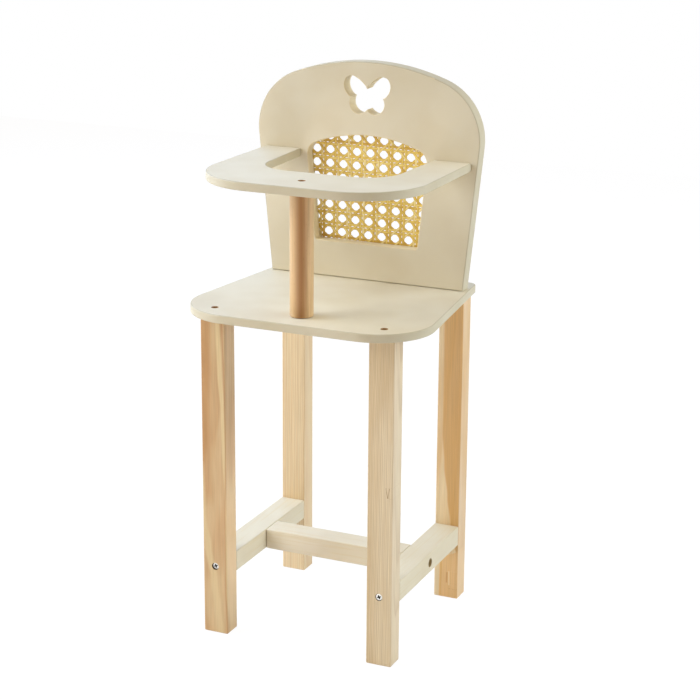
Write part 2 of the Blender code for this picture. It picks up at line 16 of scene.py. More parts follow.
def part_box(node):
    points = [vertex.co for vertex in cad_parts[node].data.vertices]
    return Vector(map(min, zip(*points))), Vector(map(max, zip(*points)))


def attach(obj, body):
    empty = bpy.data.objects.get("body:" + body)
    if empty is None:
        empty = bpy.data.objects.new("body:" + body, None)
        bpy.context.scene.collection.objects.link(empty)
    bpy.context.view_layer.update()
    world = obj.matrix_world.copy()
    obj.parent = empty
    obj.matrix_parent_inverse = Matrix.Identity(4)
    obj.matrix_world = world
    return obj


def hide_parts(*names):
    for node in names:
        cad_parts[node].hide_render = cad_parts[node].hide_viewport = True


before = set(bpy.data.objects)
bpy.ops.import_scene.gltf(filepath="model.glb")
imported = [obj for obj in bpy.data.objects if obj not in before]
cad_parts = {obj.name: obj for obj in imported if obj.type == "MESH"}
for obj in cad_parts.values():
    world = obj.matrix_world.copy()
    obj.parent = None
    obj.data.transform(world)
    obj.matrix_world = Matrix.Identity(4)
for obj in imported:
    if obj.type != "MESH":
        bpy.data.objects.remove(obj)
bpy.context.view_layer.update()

LOG = logging.getLogger("doll_high_chair")
BMesh, BMVert = bmesh.types.BMesh, bmesh.types.BMVert
Inputs = dict[str | int, object]  # what a node's inputs get, by their names or numbers
MM = 0.001
FIT_GAP = 0.3 * MM  # between two pieces that touch, as in the CAD
OVERRUN = 1 * MM  # how far a cut runs past the face that it opens
SAME_SPOT = 1e-6  # points that are closer than this are one
EASED = 1.2 * MM  # the rounding of the boards' rims and the sticks' edges
BOARD_STEPS = 28  # straight bits round a board's corner
WINDOW_STEPS = 16  # the same for the window
RIM_FACETS = 4  # across a rounded rim or edge
CRISP_DEG = 35  # edges sharper than this stay crisp
SAME_PLANE_DEG = 0.5  # faces that turn less than this from each other are one
FLAT = 0.999  # a board's flat faces have a Z part of their normal above this, its walls and rims below it
UPRIGHT = Matrix.Rotation(math.pi / 2, 4, "X")  # stands a board that was drawn flat, its top to the front
HEAD_MM = 354  # the height of a leg's head, where the path of a streak in its wood ends
OFF_MM = 28  # a place across that is outside the leg, for where a streak doesn't show


class Slot(Enum):
    """The record's material slots."""

    PAINT = "cream_paint"
    PINE = "pine"
    BEECH = "beech"
    CANE = "cane"
    STEEL = "zinc_plated_steel"
    DOWEL = "dowel_wood"


class Hand(Enum):
    """The chair's two sides, as seen by someone who looks at its front."""

    LEFT = -1
    RIGHT = 1


class End(Enum):
    """The chair's two ends. The value is the way that a screw goes in from there, along Y."""

    FRONT = 1
    REAR = -1


class Run(Enum):
    """The four ways that the cane strands run. The value is the angle from level, in degrees."""

    UPRIGHT = 90
    LEVEL = 0
    RISING = 45
    FALLING = -45


def linear(colour: str) -> tuple[float, float, float, float]:
    """Turns an sRGB hex colour into linear light.

    Args:
        colour: "#RRGGBB".

    Returns:
        Red, green, blue and an alpha of 1.
    """
    levels = [int(colour[i:i + 2], 16) / 255 for i in (1, 3, 5)]
    red, green, blue = (v / 12.92 if v <= 0.04045 else ((v + 0.055) / 1.055) ** 2.4 for v in levels)
    return red, green, blue, 1.0


def feed(node: Node, inputs: Inputs) -> None:
    """Gives a node's inputs their values and links.

    Args:
        node: The node.
        inputs: For each input by name or number: a value, a hex colour, an output, or a node, of which the
            first output that is in use is linked.
    """
    for key, value in inputs.items():
        if isinstance(value, Node):
            value = next(out for out in value.outputs if out.enabled)
        if isinstance(value, NodeSocket):
            node.id_data.links.new(value, node.inputs[key])
        else:
            node.inputs[key].default_value = linear(value) if isinstance(value, str) else value


def add_node(
    tree: NodeTree, kind: str, inputs: Inputs, stops: tuple[tuple[float, str | float], ...] = (),
    **settings: object,
) -> Node:
    """Adds one node with its settings and links.

    Args:
        tree: The node tree.
        kind: The node's Blender type, without its first word, ShaderNode.
        inputs: What its inputs get, as feed takes it.
        stops: Places, each with a hex colour or a grey, if it is a colour ramp.
        settings: Its attributes.

    Returns:
        The node.
    """
    made = tree.nodes.new(f"ShaderNode{kind}")
    for key, value in settings.items():
        setattr(made, key, value)
    feed(made, inputs)
    for i, (place, colour) in enumerate(stops):
        ramp = made.color_ramp.elements
        stop = ramp[i] if i < 2 else ramp.new(place)
        stop.position = place
        stop.color = linear(colour) if isinstance(colour, str) else (colour, colour, colour, 1.0)
    return made


# Finishes


@dataclass(frozen=True)
class Finish:
    """One finish of the chair's pieces, named for what it is and how it was made."""

    name: str

    def material(self) -> Material:
        """Mixes the finish's material when it is first asked for.

        Returns:
            The material.
        """
        made = bpy.data.materials.get(self.name)
        if made is None:
            made = bpy.data.materials.new(self.name)
            made.use_nodes = True
            tree = made.node_tree
            place = add_node(tree, "TexCoord", {}).outputs["Object"]
            feed(tree.nodes["Principled BSDF"], self.mix(tree, place))
        return made

    def mix(self, tree: NodeTree, place: NodeSocket) -> Inputs:
        """Adds the finish's nodes.

        Args:
            tree: The material's node tree.
            place: Object coordinates.

        Returns:
            What the Principled shader's inputs get.
        """
        raise NotImplementedError


@dataclass(frozen=True)
class SprayedLacquer(Finish):
    """Satin cream lacquer, sprayed on sanded MDF: an even, soft-lit cream with a faint cloudiness."""

    colour: str = "#E4DDC8"
    cloud: str = "#DED5BD"
    cloud_mm: float = 55.0
    peel_mm: float = 2.2  # the real orange peel is about 1 mm, too fine to show
    peel_depth_mm: float = 0.010
    roughness: float = 0.55
    specular: float = 0.35

    def mix(self, tree: NodeTree, place: NodeSocket) -> Inputs:
        """Mixes two near creams in clouds, with the spray's orange peel as bump.

        Args:
            tree: The material's node tree.
            place: Object coordinates.

        Returns:
            What the shader's inputs get.
        """
        peel = add_node(tree, "TexNoise", {"Vector": place, "Scale": 1 / (self.peel_mm * MM), "Detail": 1.0})
        bump = add_node(tree, "Bump", {"Height": peel, "Distance": self.peel_depth_mm * MM, "Strength": 0.6})
        return {
            "Base Color": self.cloudy(tree, place), "Normal": bump, "Roughness": self.roughness,
            "Specular IOR Level": self.specular}

    def cloudy(self, tree: NodeTree, place: NodeSocket) -> Node:
        """Mixes the lacquer's colour, a little uneven from one hand's breadth to the next.

        Args:
            tree: The material's node tree.
            place: Object coordinates.

        Returns:
            The node that gives it.
        """
        cloud = add_node(tree, "TexNoise", {
            "Vector": place, "Scale": 1 / (self.cloud_mm * MM), "Detail": 2.0})
        return add_node(tree, "ValToRGB", {0: cloud}, ((0.35, self.cloud), (0.65, self.colour)))


@dataclass(frozen=True)
class LacqueredPine(SprayedLacquer):
    """The same lacquer on planed pine. The grain stands through it as faint long streaks."""

    along: int = 1  # the axis that the grain follows
    grain: str = "#DCCDA9"
    grain_mm: float = 2.4
    grain_long_mm: float = 70.0
    grain_share: float = 0.75

    def cloudy(self, tree: NodeTree, place: NodeSocket) -> Node:
        """Mixes the lacquer's colour with streaks of the wood's grain under it.

        Args:
            tree: The material's node tree.
            place: Object coordinates.

        Returns:
            The node that gives it.
        """
        base = super().cloudy(tree, place)
        pulled = [self.grain_mm / self.grain_long_mm if axis == self.along else 1.0 for axis in range(3)]
        stretched = add_node(tree, "Mapping", {"Vector": place, "Scale": pulled})
        streak = add_node(tree, "TexNoise", {
            "Vector": stretched, "Scale": 1 / (self.grain_mm * MM), "Detail": 3.0, "Roughness": 0.6})
        share = add_node(tree, "MapRange", {
            "Value": streak, "From Min": 0.52, "From Max": 0.78, "To Max": self.grain_share})
        return add_node(tree, "Mix", {0: share, 6: base, 7: self.grain}, data_type="RGBA")


@dataclass(frozen=True)
class Streak:
    """A long streak in the wood of one leg, which goes through from its front face to its rear one."""

    colour: str
    half_wide_mm: float
    share: float
    path_mm: tuple[tuple[float, float], ...]  # from the foot up: height, and place across from the middle
    soft: float = 0.35  # how much of its half width its edge takes


def mark(
    colour: str, half_wide_mm: float, share: float, foot: tuple[float, float], head: tuple[float, float],
    soft: float,
) -> Streak:
    """Makes a short streak, whose path runs outside the leg above and below it.

    Args:
        colour: Its colour.
        half_wide_mm: Half its width.
        share: How much it covers.
        foot: The height and the place across where it starts, in mm.
        head: Where it ends.
        soft: How much of its half width its edge takes.

    Returns:
        The streak.
    """
    jump = 0.1  # in height, between the mark and where its path is outside
    return Streak(colour, half_wide_mm, share, (
        (0, OFF_MM), (foot[0] - jump, OFF_MM), foot, head, (head[0] + jump, OFF_MM), (HEAD_MM, OFF_MM)), soft)


def side_wood(colour: str, share: float = 0.8) -> Streak:
    """Makes the other tone of wood that a leg's right face shows, along all of the leg."""
    return Streak(colour, 3.0, share, ((0, 17), (HEAD_MM, 17)), 0.3)


@dataclass(frozen=True)
class VarnishedPine(Finish):
    """Planed pine under one thin coat of clear varnish.

    The eye sees growth rings: wide pale spring wood, then a narrow orange line of summer wood. They are
    worked out as rings round the place where the tree's pith ran, so every face of the leg shows one tree.
    """

    spring: str = "#E8CDA1"
    summer: str = "#C48F57"
    blush: str = "#D3A26C"
    pith_mm: tuple[float, float] = (0.0, 40.0)  # from the leg's own middle, across and to the rear
    lean_deg: tuple[float, float] = (1.0, 0.6)  # of the pith from the leg's length, about X and about Y
    ring_mm: float = 3.0
    sway_mm: float = 2.0
    sway_long_mm: float = 26.0
    slow_pull: float = 0.18  # how much shorter the slow changes are across the leg than along it
    year_change: float = 0.45  # how many lumps of the noise go by in one ring
    uneven: float = 1.6  # how many rings wide the years' widths may drift
    contrast: float = 0.8
    blush_share: float = 0.35
    blush_wide_mm: float = 14.0
    fibre_mm: float = 0.8  # bundles: a real fibre is 0.04 mm wide, too fine to show
    fibre_pull: float = 0.02
    fibre_depth_mm: float = 0.02
    roughness: float = 0.48
    coat: float = 0.12
    coat_roughness: float = 0.3
    seed: float = 0.0
    middle: tuple[float, float, float] = (0.0, 0.0, 0.0)
    streaks: tuple[Streak, ...] = ()
    long_mm: float = 354.4
    reach_mm: float = 30.0  # how far aside of the leg's middle a streak's path may go

    def mix(self, tree: NodeTree, place: NodeSocket) -> Inputs:
        """Mixes spring and summer wood by the rings, with fibres and slow changes of tone over them.

        Args:
            tree: The material's node tree.
            place: Object coordinates.

        Returns:
            What the shader's inputs get.
        """
        seen = add_node(tree, "Mapping", {
            "Vector": place, "Location": Vector(self.middle) + Vector((*self.pith_mm, 0)) * MM,
            "Rotation": [math.radians(turn) for turn in (*self.lean_deg, 0)]}, vector_type="TEXTURE")
        slow = add_node(tree, "Mapping", {
            "Vector": place, "Location": (self.seed, self.seed / 2, self.seed / 3),
            "Scale": (1, 1, self.slow_pull)})
        sway = add_node(tree, "TexNoise", {
            "Vector": slow, "Scale": 1 / (self.sway_long_mm * MM), "Detail": 1.0})
        centred = add_node(
            tree, "VectorMath", {0: sway.outputs["Color"], 1: (0.5, 0.5, 0.5)}, operation="SUBTRACT")
        moved = add_node(tree, "VectorMath", {
            0: centred, 1: [self.sway_mm * 2 * MM] * 3, 2: seen}, operation="MULTIPLY_ADD")
        flat = add_node(tree, "VectorMath", {0: moved, 1: (1, 1, 0)}, operation="MULTIPLY")
        reach = add_node(tree, "VectorMath", {0: flat}, operation="LENGTH")
        rings = add_node(tree, "Math", {0: reach.outputs["Value"], 1: self.ring_mm * MM}, operation="DIVIDE")
        # Some years are wide and some narrow.
        years = add_node(
            tree, "TexNoise", {"W": rings, "Scale": self.year_change, "Detail": 1.0}, noise_dimensions="1D")
        uneven = add_node(tree, "Math", {0: years, 1: self.uneven, 2: rings}, operation="MULTIPLY_ADD")
        year = add_node(tree, "Math", {0: uneven}, operation="FRACT")
        grown = add_node(tree, "ValToRGB", {0: year}, (
            (0.0, 0.25), (0.12, 0.0), (0.45, 0.12), (0.82, 0.75), (0.94, 1.0), (1.0, 0.3)))
        share = add_node(tree, "Math", {0: grown, 1: self.contrast}, operation="MULTIPLY")
        wood = add_node(tree, "Mix", {0: share, 6: self.spring, 7: self.summer}, data_type="RGBA")
        broad = add_node(tree, "TexNoise", {
            "Vector": slow, "Scale": 1 / (self.blush_wide_mm * MM), "Detail": 2.0})
        warm = add_node(tree, "MapRange", {
            "Value": broad, "From Min": 0.45, "From Max": 0.7, "To Max": self.blush_share})
        wood = add_node(tree, "Mix", {0: warm, 6: wood, 7: self.blush}, data_type="RGBA")
        for streak in self.streaks:
            wood = self.draw_streak(tree, place, sway, wood, streak)
        pulled = add_node(tree, "Mapping", {"Vector": place, "Scale": (1, 1, self.fibre_pull)})
        fibre = add_node(tree, "TexNoise", {
            "Vector": pulled, "Scale": 1 / (self.fibre_mm * MM), "Detail": 2.0})
        shade = add_node(tree, "MapRange", {
            "Value": fibre, "From Min": 0.3, "From Max": 0.7, "To Min": 0.90, "To Max": 1.05})
        wood = add_node(tree, "Mix", {0: 1.0, 6: wood, 7: shade}, data_type="RGBA", blend_type="MULTIPLY")
        bump = add_node(tree, "Bump", {
            "Height": fibre, "Distance": self.fibre_depth_mm * MM, "Strength": 0.5})
        return {
            "Base Color": wood, "Normal": bump, "Roughness": self.roughness, "Coat Weight": self.coat,
            "Coat Roughness": self.coat_roughness}

    def draw_streak(self, tree: NodeTree, place: NodeSocket, sway: Node, wood: Node, streak: Streak) -> Node:
        """Draws one streak over the wood.

        Args:
            tree: The material's node tree.
            place: Object coordinates.
            sway: Slow noise round 0.5, which keeps the streak's edges from running too true.
            wood: The wood's colour so far.
            streak: The streak.

        Returns:
            The node that gives the wood's colour with the streak in it.
        """
        axes = add_node(tree, "SeparateXYZ", {0: place}).outputs
        height = add_node(tree, "Math", {0: axes["Z"], 1: self.long_mm * MM}, operation="DIVIDE")
        path = add_node(tree, "ValToRGB", {0: height}, tuple(
            (up / self.long_mm, aside / (2 * self.reach_mm) + 0.5) for up, aside in streak.path_mm))
        path.color_ramp.interpolation = "EASE"
        # The ramp holds the places from -reach to reach as 0 to 1, and the noise goes round 0.5. The last of
        # the next three sums puts both middles back.
        aside = add_node(tree, "Math", {
            0: path, 1: -2 * self.reach_mm * MM, 2: axes["X"]}, operation="MULTIPLY_ADD")
        swayed = add_node(tree, "Math", {0: sway, 1: self.sway_mm * MM, 2: aside}, operation="MULTIPLY_ADD")
        centred = add_node(tree, "Math", {
            0: swayed, 1: (self.reach_mm - self.sway_mm / 2) * MM - self.middle[0]}, operation="ADD")
        off = add_node(tree, "Math", {0: centred}, operation="ABSOLUTE")
        share = add_node(tree, "MapRange", {
            "Value": off, "From Min": streak.half_wide_mm * (1 - streak.soft) * MM,
            "From Max": streak.half_wide_mm * (1 + streak.soft) * MM, "To Min": streak.share, "To Max": 0.0,
        }, interpolation_type="SMOOTHSTEP")
        return add_node(tree, "Mix", {0: share, 6: wood, 7: streak.colour}, data_type="RGBA")


@dataclass(frozen=True)
class TurnedBeech(Finish):
    """A beech rod, sanded round and clear varnished: tan, with a browner band down its front, partly
    heartwood and partly painted shade.
    """

    wood: str = "#D8B686"
    # The band's brown is partly heartwood and partly painted shade.
    heart_and_shade: str = "#A3703C"
    fleck: str = "#8C5C36"
    middle: tuple[float, float] = (0.0, 0.0)
    # The band faces the side of the rod that gets least light, where its brown paints shade.
    band_turn_deg: float = 23.0  # where the band faces, round from the front towards +X
    band_mm: float = 10.0
    sway_mm: float = 3.0
    front_mm: float = 6.0  # from the axis to where the band is full
    band_share: float = 0.95
    streak_mm: float = 2.6
    streak_pull: float = 0.03  # how much shorter the streaks are across the rod than along it
    fleck_mm: float = 0.7  # beech's ray flecks are 0.3 mm wide, too fine to show
    fleck_pull: float = 0.16
    fleck_share: float = 0.16
    streak_depth_mm: float = 0.03
    roughness: float = 0.42
    coat: float = 0.15
    coat_roughness: float = 0.25

    def mix(self, tree: NodeTree, place: NodeSocket) -> Inputs:
        """Mixes the band of heartwood and painted shade, long streaks and beech's short dark flecks.

        Args:
            tree: The material's node tree.
            place: Object coordinates.

        Returns:
            What the shader's inputs get.
        """
        rod = add_node(tree, "Mapping", {
            "Vector": place, "Location": (*self.middle, 0),
            "Rotation": (0, 0, math.radians(self.band_turn_deg))}, vector_type="TEXTURE")
        pulled = add_node(tree, "Mapping", {"Vector": rod, "Scale": (1, 1, self.streak_pull)})
        streak = add_node(tree, "TexNoise", {
            "Vector": pulled, "Scale": 1 / (self.streak_mm * MM), "Detail": 3.0, "Roughness": 0.6})
        axes = add_node(tree, "SeparateXYZ", {0: rod}).outputs
        sway = add_node(tree, "Math", {
            0: streak, 1: self.sway_mm * MM, 2: axes["X"]}, operation="MULTIPLY_ADD")
        sway = add_node(tree, "Math", {0: sway, 1: self.sway_mm / 2 * MM}, operation="SUBTRACT")
        off = add_node(tree, "Math", {0: sway}, operation="ABSOLUTE")
        front = add_node(tree, "MapRange", {"Value": axes["Y"], "From Max": -self.front_mm * MM})
        band = add_node(tree, "MapRange", {
            "Value": off, "From Max": self.band_mm * MM, "To Min": self.band_share, "To Max": 0.0,
        }, interpolation_type="SMOOTHSTEP")
        share = add_node(tree, "Math", {0: band, 1: front}, operation="MULTIPLY")
        wood = add_node(tree, "Mix", {0: share, 6: self.wood, 7: self.heart_and_shade}, data_type="RGBA")
        shade = add_node(tree, "MapRange", {
            "Value": streak, "From Min": 0.3, "From Max": 0.7, "To Min": 0.9, "To Max": 1.08})
        wood = add_node(tree, "Mix", {0: 1.0, 6: wood, 7: shade}, data_type="RGBA", blend_type="MULTIPLY")
        short = add_node(tree, "Mapping", {"Vector": rod, "Scale": (1, 1, self.fleck_pull)})
        flecks = add_node(tree, "TexNoise", {
            "Vector": short, "Scale": 1 / (self.fleck_mm * MM), "Detail": 0.0})
        some = add_node(tree, "MapRange", {
            "Value": flecks, "From Min": 0.68, "From Max": 0.8, "To Max": self.fleck_share})
        wood = add_node(tree, "Mix", {0: some, 6: wood, 7: self.fleck}, data_type="RGBA")
        bump = add_node(tree, "Bump", {
            "Height": streak, "Distance": self.streak_depth_mm * MM, "Strength": 0.4})
        return {
            "Base Color": wood, "Normal": bump, "Roughness": self.roughness, "Coat Weight": self.coat,
            "Coat Roughness": self.coat_roughness}


@dataclass(frozen=True)
class PeeledCane(Finish):
    """Strands peeled from rattan's shiny outer skin: golden, a little different from strand to strand."""

    run: Run = Run.UPRIGHT
    pale: str = "#FEF0B2"
    gold: str = "#F4D96F"
    brown: str = "#CD9E38"
    # The strands' edges turn this brown, partly pith and partly painted shade.
    rim: str = "#B98833"
    fibre_mm: float = 0.6  # the skin's fibres are 0.1 mm wide, too fine to show
    fibre_pull: float = 0.06  # how much shorter they are across the strand than along it
    fibre_depth_mm: float = 0.03
    edge_shade_starts: float = 0.45  # from the strand's middle, as a share of half its width
    edge_shade_share: float = 0.6
    roughness: float = 0.4

    def mix(self, tree: NodeTree, place: NodeSocket) -> Inputs:
        """Mixes each strand's own tone, which its mesh holds, with fine streaks along the strand, and browns
        its edges.

        Args:
            tree: The material's node tree.
            place: Object coordinates.

        Returns:
            What the shader's inputs get.
        """
        strand = add_node(tree, "Mapping", {
            "Vector": place, "Rotation": (0, -math.radians(self.run.value), 0)}, vector_type="TEXTURE")
        pulled = add_node(tree, "Mapping", {"Vector": strand, "Scale": (self.fibre_pull, 1, 1)})
        streak = add_node(tree, "TexNoise", {
            "Vector": pulled, "Scale": 1 / (self.fibre_mm * MM), "Detail": 2.0})
        tone, aside = (
            add_node(tree, "Attribute", {}, attribute_name=name).outputs["Fac"]
            for name in ("strand_tone", "aside"))
        mixed = add_node(tree, "Math", {0: streak, 1: 0.5, 2: tone}, operation="MULTIPLY_ADD")
        colour = add_node(tree, "ValToRGB", {0: mixed}, (
            (0.2, self.brown), (0.85, self.pale), (0.55, self.gold)))
        # Along a strand's two cut edges the colour turns browner: partly the pith where the skin ends, partly
        # painted shade on the strand's rounded edges.
        far = add_node(tree, "Math", {0: aside}, operation="ABSOLUTE")
        edge = add_node(
            tree, "MapRange", {"Value": far, "From Min": self.edge_shade_starts, "To Max": self.edge_shade_share},
            interpolation_type="SMOOTHSTEP")
        skin = add_node(tree, "Mix", {0: edge, 6: colour, 7: self.rim}, data_type="RGBA")
        bump = add_node(tree, "Bump", {
            "Height": streak, "Distance": self.fibre_depth_mm * MM, "Strength": 0.4})
        return {"Base Color": skin, "Normal": bump, "Roughness": self.roughness}


@dataclass(frozen=True)
class ZincPlate(Finish):
    """Steel screws, cold headed and bright zinc plated: a pale grey metal with a slightly milky gloss."""

    colour: str = "#E8E7E3"
    roughness: float = 0.3
    milk_mm: float = 0.9

    def mix(self, tree: NodeTree, place: NodeSocket) -> Inputs:
        """Gives plating whose gloss wanders a little.

        Args:
            tree: The material's node tree.
            place: Object coordinates.

        Returns:
            What the shader's inputs get.
        """
        milk = add_node(tree, "TexNoise", {"Vector": place, "Scale": 1 / (self.milk_mm * MM), "Detail": 2.0})
        gloss = add_node(tree, "MapRange", {
            "Value": milk, "To Min": self.roughness - 0.06, "To Max": self.roughness + 0.08})
        return {"Base Color": self.colour, "Metallic": 1.0, "Roughness": gloss}


@dataclass(frozen=True)
class RawWood(Finish):
    """Bare wood or MDF where a drill went in, and the dowels' raw beech: matt, darker, with loose fibres."""

    colour: str
    dark: str
    fibre_mm: float = 0.7
    fibre_depth_mm: float = 0.1
    roughness: float = 0.85

    def mix(self, tree: NodeTree, place: NodeSocket) -> Inputs:
        """Mixes two browns in short fibres, matt.

        Args:
            tree: The material's node tree.
            place: Object coordinates.

        Returns:
            What the shader's inputs get.
        """
        fibre = add_node(tree, "TexNoise", {
            "Vector": place, "Scale": 1 / (self.fibre_mm * MM), "Detail": 3.0})
        colour = add_node(tree, "ValToRGB", {0: fibre}, ((0.35, self.dark), (0.65, self.colour)))
        bump = add_node(tree, "Bump", {
            "Height": fibre, "Distance": self.fibre_depth_mm * MM, "Strength": 0.6})
        return {"Base Color": colour, "Normal": bump, "Roughness": self.roughness}


BOARD_FACE = SprayedLacquer("sprayed_cream_lacquer_on_mdf")
# The edges get a darker cream than the faces, which paints shade on them; their coarser peel is the MDF
# edge's rougher coat.
SHADED_BOARD_EDGE = SprayedLacquer(
    "sprayed_cream_lacquer_on_mdf_edges", colour="#CFC8B2", cloud="#C7BFA6", peel_mm=1.8, peel_depth_mm=0.03)
# The cut-outs' walls get a paler, warmer cream than the other edges, which paints light on walls that the
# lamps leave dim.
BOARD_CUT_LIT = SprayedLacquer(
    "thin_cream_lacquer_on_mdf_cut_outs", colour="#EBDFC0", cloud="#E3D6B4", peel_mm=1.8, peel_depth_mm=0.03)
SIDE_RAIL = LacqueredPine("cream_lacquered_pine_side_rails")
CROSS_RAIL = LacqueredPine("cream_lacquered_pine_cross_rail", colour="#E6DECA", cloud="#E0D6BF", along=0)
BARE_MDF = RawWood("drilled_bare_mdf", colour="#C49A62", dark="#A87F4C")
BARE_PINE = RawWood("drilled_bare_pine", colour="#B08B5C", dark="#8F6C43")
# The legs' bores get a near-black brown, which paints the shade in the recess round the screw heads.
SHADED_LEG_BORE = RawWood("drilled_pine_soaked_with_varnish", colour="#4E2C14", dark="#2E170A")
# The rails' bores are paler than bare pine: painted light on the bore walls, with some lacquer mist in their
# mouths.
LIT_RAIL_BORE = RawWood("drilled_pine_with_lacquer_mist", colour="#CDB88F", dark="#A8946C")
RAW_BEECH = RawWood("raw_beech_dowel", colour="#D2B48C", dark="#C2A076", fibre_mm=1.0)
PLATED = ZincPlate("bright_zinc_plated_steel")
# The driver's recess gets a near-black steel, which paints shade into the cross.
SHADED_RECESS_STEEL = ZincPlate("steel_recess_with_painted_shade", colour="#2A2622", roughness=0.5)


# Making


def middle_of(node: str) -> Vector:
    """Returns the middle of a CAD node's box."""
    low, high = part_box(node)
    return (low + high) / 2


def shift(shape: BMesh, matrix: Matrix) -> BMesh:
    """Moves or turns all of a shape by a matrix and returns it."""
    bmesh.ops.transform(shape, matrix=matrix, verts=shape.verts)
    return shape


def thicken(shape: BMesh, thick: float) -> None:
    """Makes a sheet a closed solid.

    Args:
        shape: The sheet, flat or wavy.
        thick: How far its copy stands above it.
    """
    made = bmesh.ops.extrude_face_region(shape, geom=shape.faces)
    raised = [part for part in made["geom"] if isinstance(part, BMVert)]
    bmesh.ops.translate(shape, verts=raised, vec=(0, 0, thick))
    bmesh.ops.recalc_face_normals(shape, faces=shape.faces)


def turned(profile: list[tuple[float, float]], sides: int) -> BMesh:
    """Spins a profile about Z.

    Args:
        profile: Radius and height, from the top down.
        sides: How many facets go round.

    Returns:
        A closed solid.
    """
    shape = bmesh.new()
    points = [shape.verts.new((radius, 0, height)) for radius, height in profile]
    edges = [shape.edges.new(pair) for pair in zip(points, points[1:])]
    bmesh.ops.spin(
        shape, geom=points + edges, cent=(0, 0, 0), axis=(0, 0, 1), angle=2 * math.pi, steps=sides,
        use_merge=True, use_duplicate=False)
    bmesh.ops.remove_doubles(shape, verts=shape.verts, dist=SAME_SPOT)
    bmesh.ops.recalc_face_normals(shape, faces=shape.faces)
    return shape


def planed_box(low: Vector, high: Vector, rounding: float) -> BMesh:
    """Planes a length of stock and eases its edges.

    Args:
        low: Its lowest corner.
        high: Its highest corner.
        rounding: Of its edges.

    Returns:
        A closed solid.
    """
    shape = bmesh.new()
    bmesh.ops.create_cube(shape, size=1)
    bmesh.ops.scale(shape, verts=shape.verts, vec=high - low)
    bmesh.ops.translate(shape, verts=shape.verts, vec=(low + high) / 2)
    bmesh.ops.bevel(
        shape, geom=shape.edges, offset=rounding, segments=RIM_FACETS, affect="EDGES", profile=0.5,
        material=-1)
    return shape


class Pencil:
    """Draws closed outlines on one flat bmesh, in straight lines and arcs."""

    def __init__(self) -> None:
        """Starts on an empty sheet."""
        self.shape = bmesh.new()
        self.rim = self.shape.verts.layers.float.new("rim")
        self.first: BMVert | None = None
        self.last: BMVert | None = None

    def line_to(self, x: float, y: float) -> BMVert:
        """Draws a straight line to a point.

        Args:
            x: The point's place across.
            y: Its place up.

        Returns:
            The point.
        """
        point = self.shape.verts.new((x, y, 0))
        if self.first is None:
            self.first = point
        else:
            self.shape.edges.new((self.last, point))
        self.last = point
        return point

    def arc(self, centre: tuple[float, float], radius: float, start: float, end: float, steps: int) -> None:
        """Draws a line to the start of an arc, and the arc.

        Args:
            centre: The arc's centre.
            radius: Its radius.
            start: Its first angle, in radians from +X towards +Y.
            end: Its last angle.
            steps: How many straight bits it is made of.
        """
        x, y = centre
        point = self.line_to(x + radius * math.cos(start), y + radius * math.sin(start))
        made = bmesh.ops.spin(
            self.shape, geom=[point], cent=(x, y, 0), axis=(0, 0, 1), angle=end - start, steps=steps,
            use_duplicate=False)
        self.last = next(part for part in made["geom_last"] if isinstance(part, BMVert))

    def corner(self, before: Vector, here: Vector, after: Vector, radius: float, steps: int) -> None:
        """Draws up to a corner and round it.

        Args:
            before: A point on the side that comes in.
            here: Where the two sides would meet.
            after: A point on the side that goes out.
            radius: The corner's radius.
            steps: How many straight bits it is made of.
        """
        back, on = (before - here).normalized(), (after - here).normalized()
        half = back.angle(on) / 2
        centre = here + (back + on).normalized() * radius / math.sin(half)
        start = here + back * radius / math.tan(half) - centre
        sweep = (math.pi - 2 * half) * (-1 if back.cross(on) > 0 else 1)
        angle = math.atan2(start.y, start.x)
        self.arc(tuple(centre), radius, angle, angle + sweep, steps)

    def cornered(self, corners: list[tuple[float, float, float]], rounding: float) -> None:
        """Draws a closed outline through corners.

        Args:
            corners: Where its sides would meet, across and up, and the corner's radius, or 0 for a sharp one.
            rounding: Of the outline's rims.
        """
        places = [Vector(corner[:2]) for corner in corners]
        for i, here in enumerate(places):
            if corners[i][2]:
                self.corner(places[i - 1], here, places[(i + 1) % len(places)], corners[i][2], BOARD_STEPS)
            else:
                self.line_to(*here)
        self.close(rounding)

    def close(self, rounding: float) -> None:
        """Closes the outline.

        Args:
            rounding: Of its rims.
        """
        self.shape.edges.new((self.last, self.first))
        self.first = self.last = None
        for point in self.shape.verts:
            if point[self.rim] == 0:
                point[self.rim] = rounding

    def board(self, thick: float, segments: int = RIM_FACETS) -> BMesh:
        """Cuts the drawn outlines from a sheet, as an edge and its holes.

        Args:
            thick: The sheet's thickness, half of it on each side of the XY plane.
            segments: Facets across each rounded rim.

        Returns:
            A closed solid. Its flat faces have material 0, and its walls and rims material 1.
        """
        shape = self.shape
        bmesh.ops.remove_doubles(shape, verts=shape.verts, dist=SAME_SPOT)
        bmesh.ops.triangle_fill(shape, use_beauty=True, use_dissolve=False, edges=shape.edges)
        bmesh.ops.translate(shape, verts=shape.verts, vec=(0, 0, -thick / 2))
        thicken(shape, thick)
        bmesh.ops.dissolve_limit(
            shape, angle_limit=math.radians(SAME_PLANE_DEG), verts=shape.verts, edges=shape.edges)
        rims = [
            edge for edge in shape.edges
            if sorted(abs(face.normal.z) > FLAT for face in edge.link_faces) == [False, True]]
        roundings = {edge: edge.verts[0][self.rim] for edge in rims}
        for rounding in sorted(set(roundings.values())):
            bmesh.ops.bevel(
                shape, geom=[edge for edge in rims if roundings[edge] == rounding], offset=rounding,
                segments=segments, affect="EDGES", profile=0.5, material=-1, clamp_overlap=False)
        for face in shape.faces:
            face.material_index = 0 if abs(face.normal.z) > FLAT else 1
        return shape


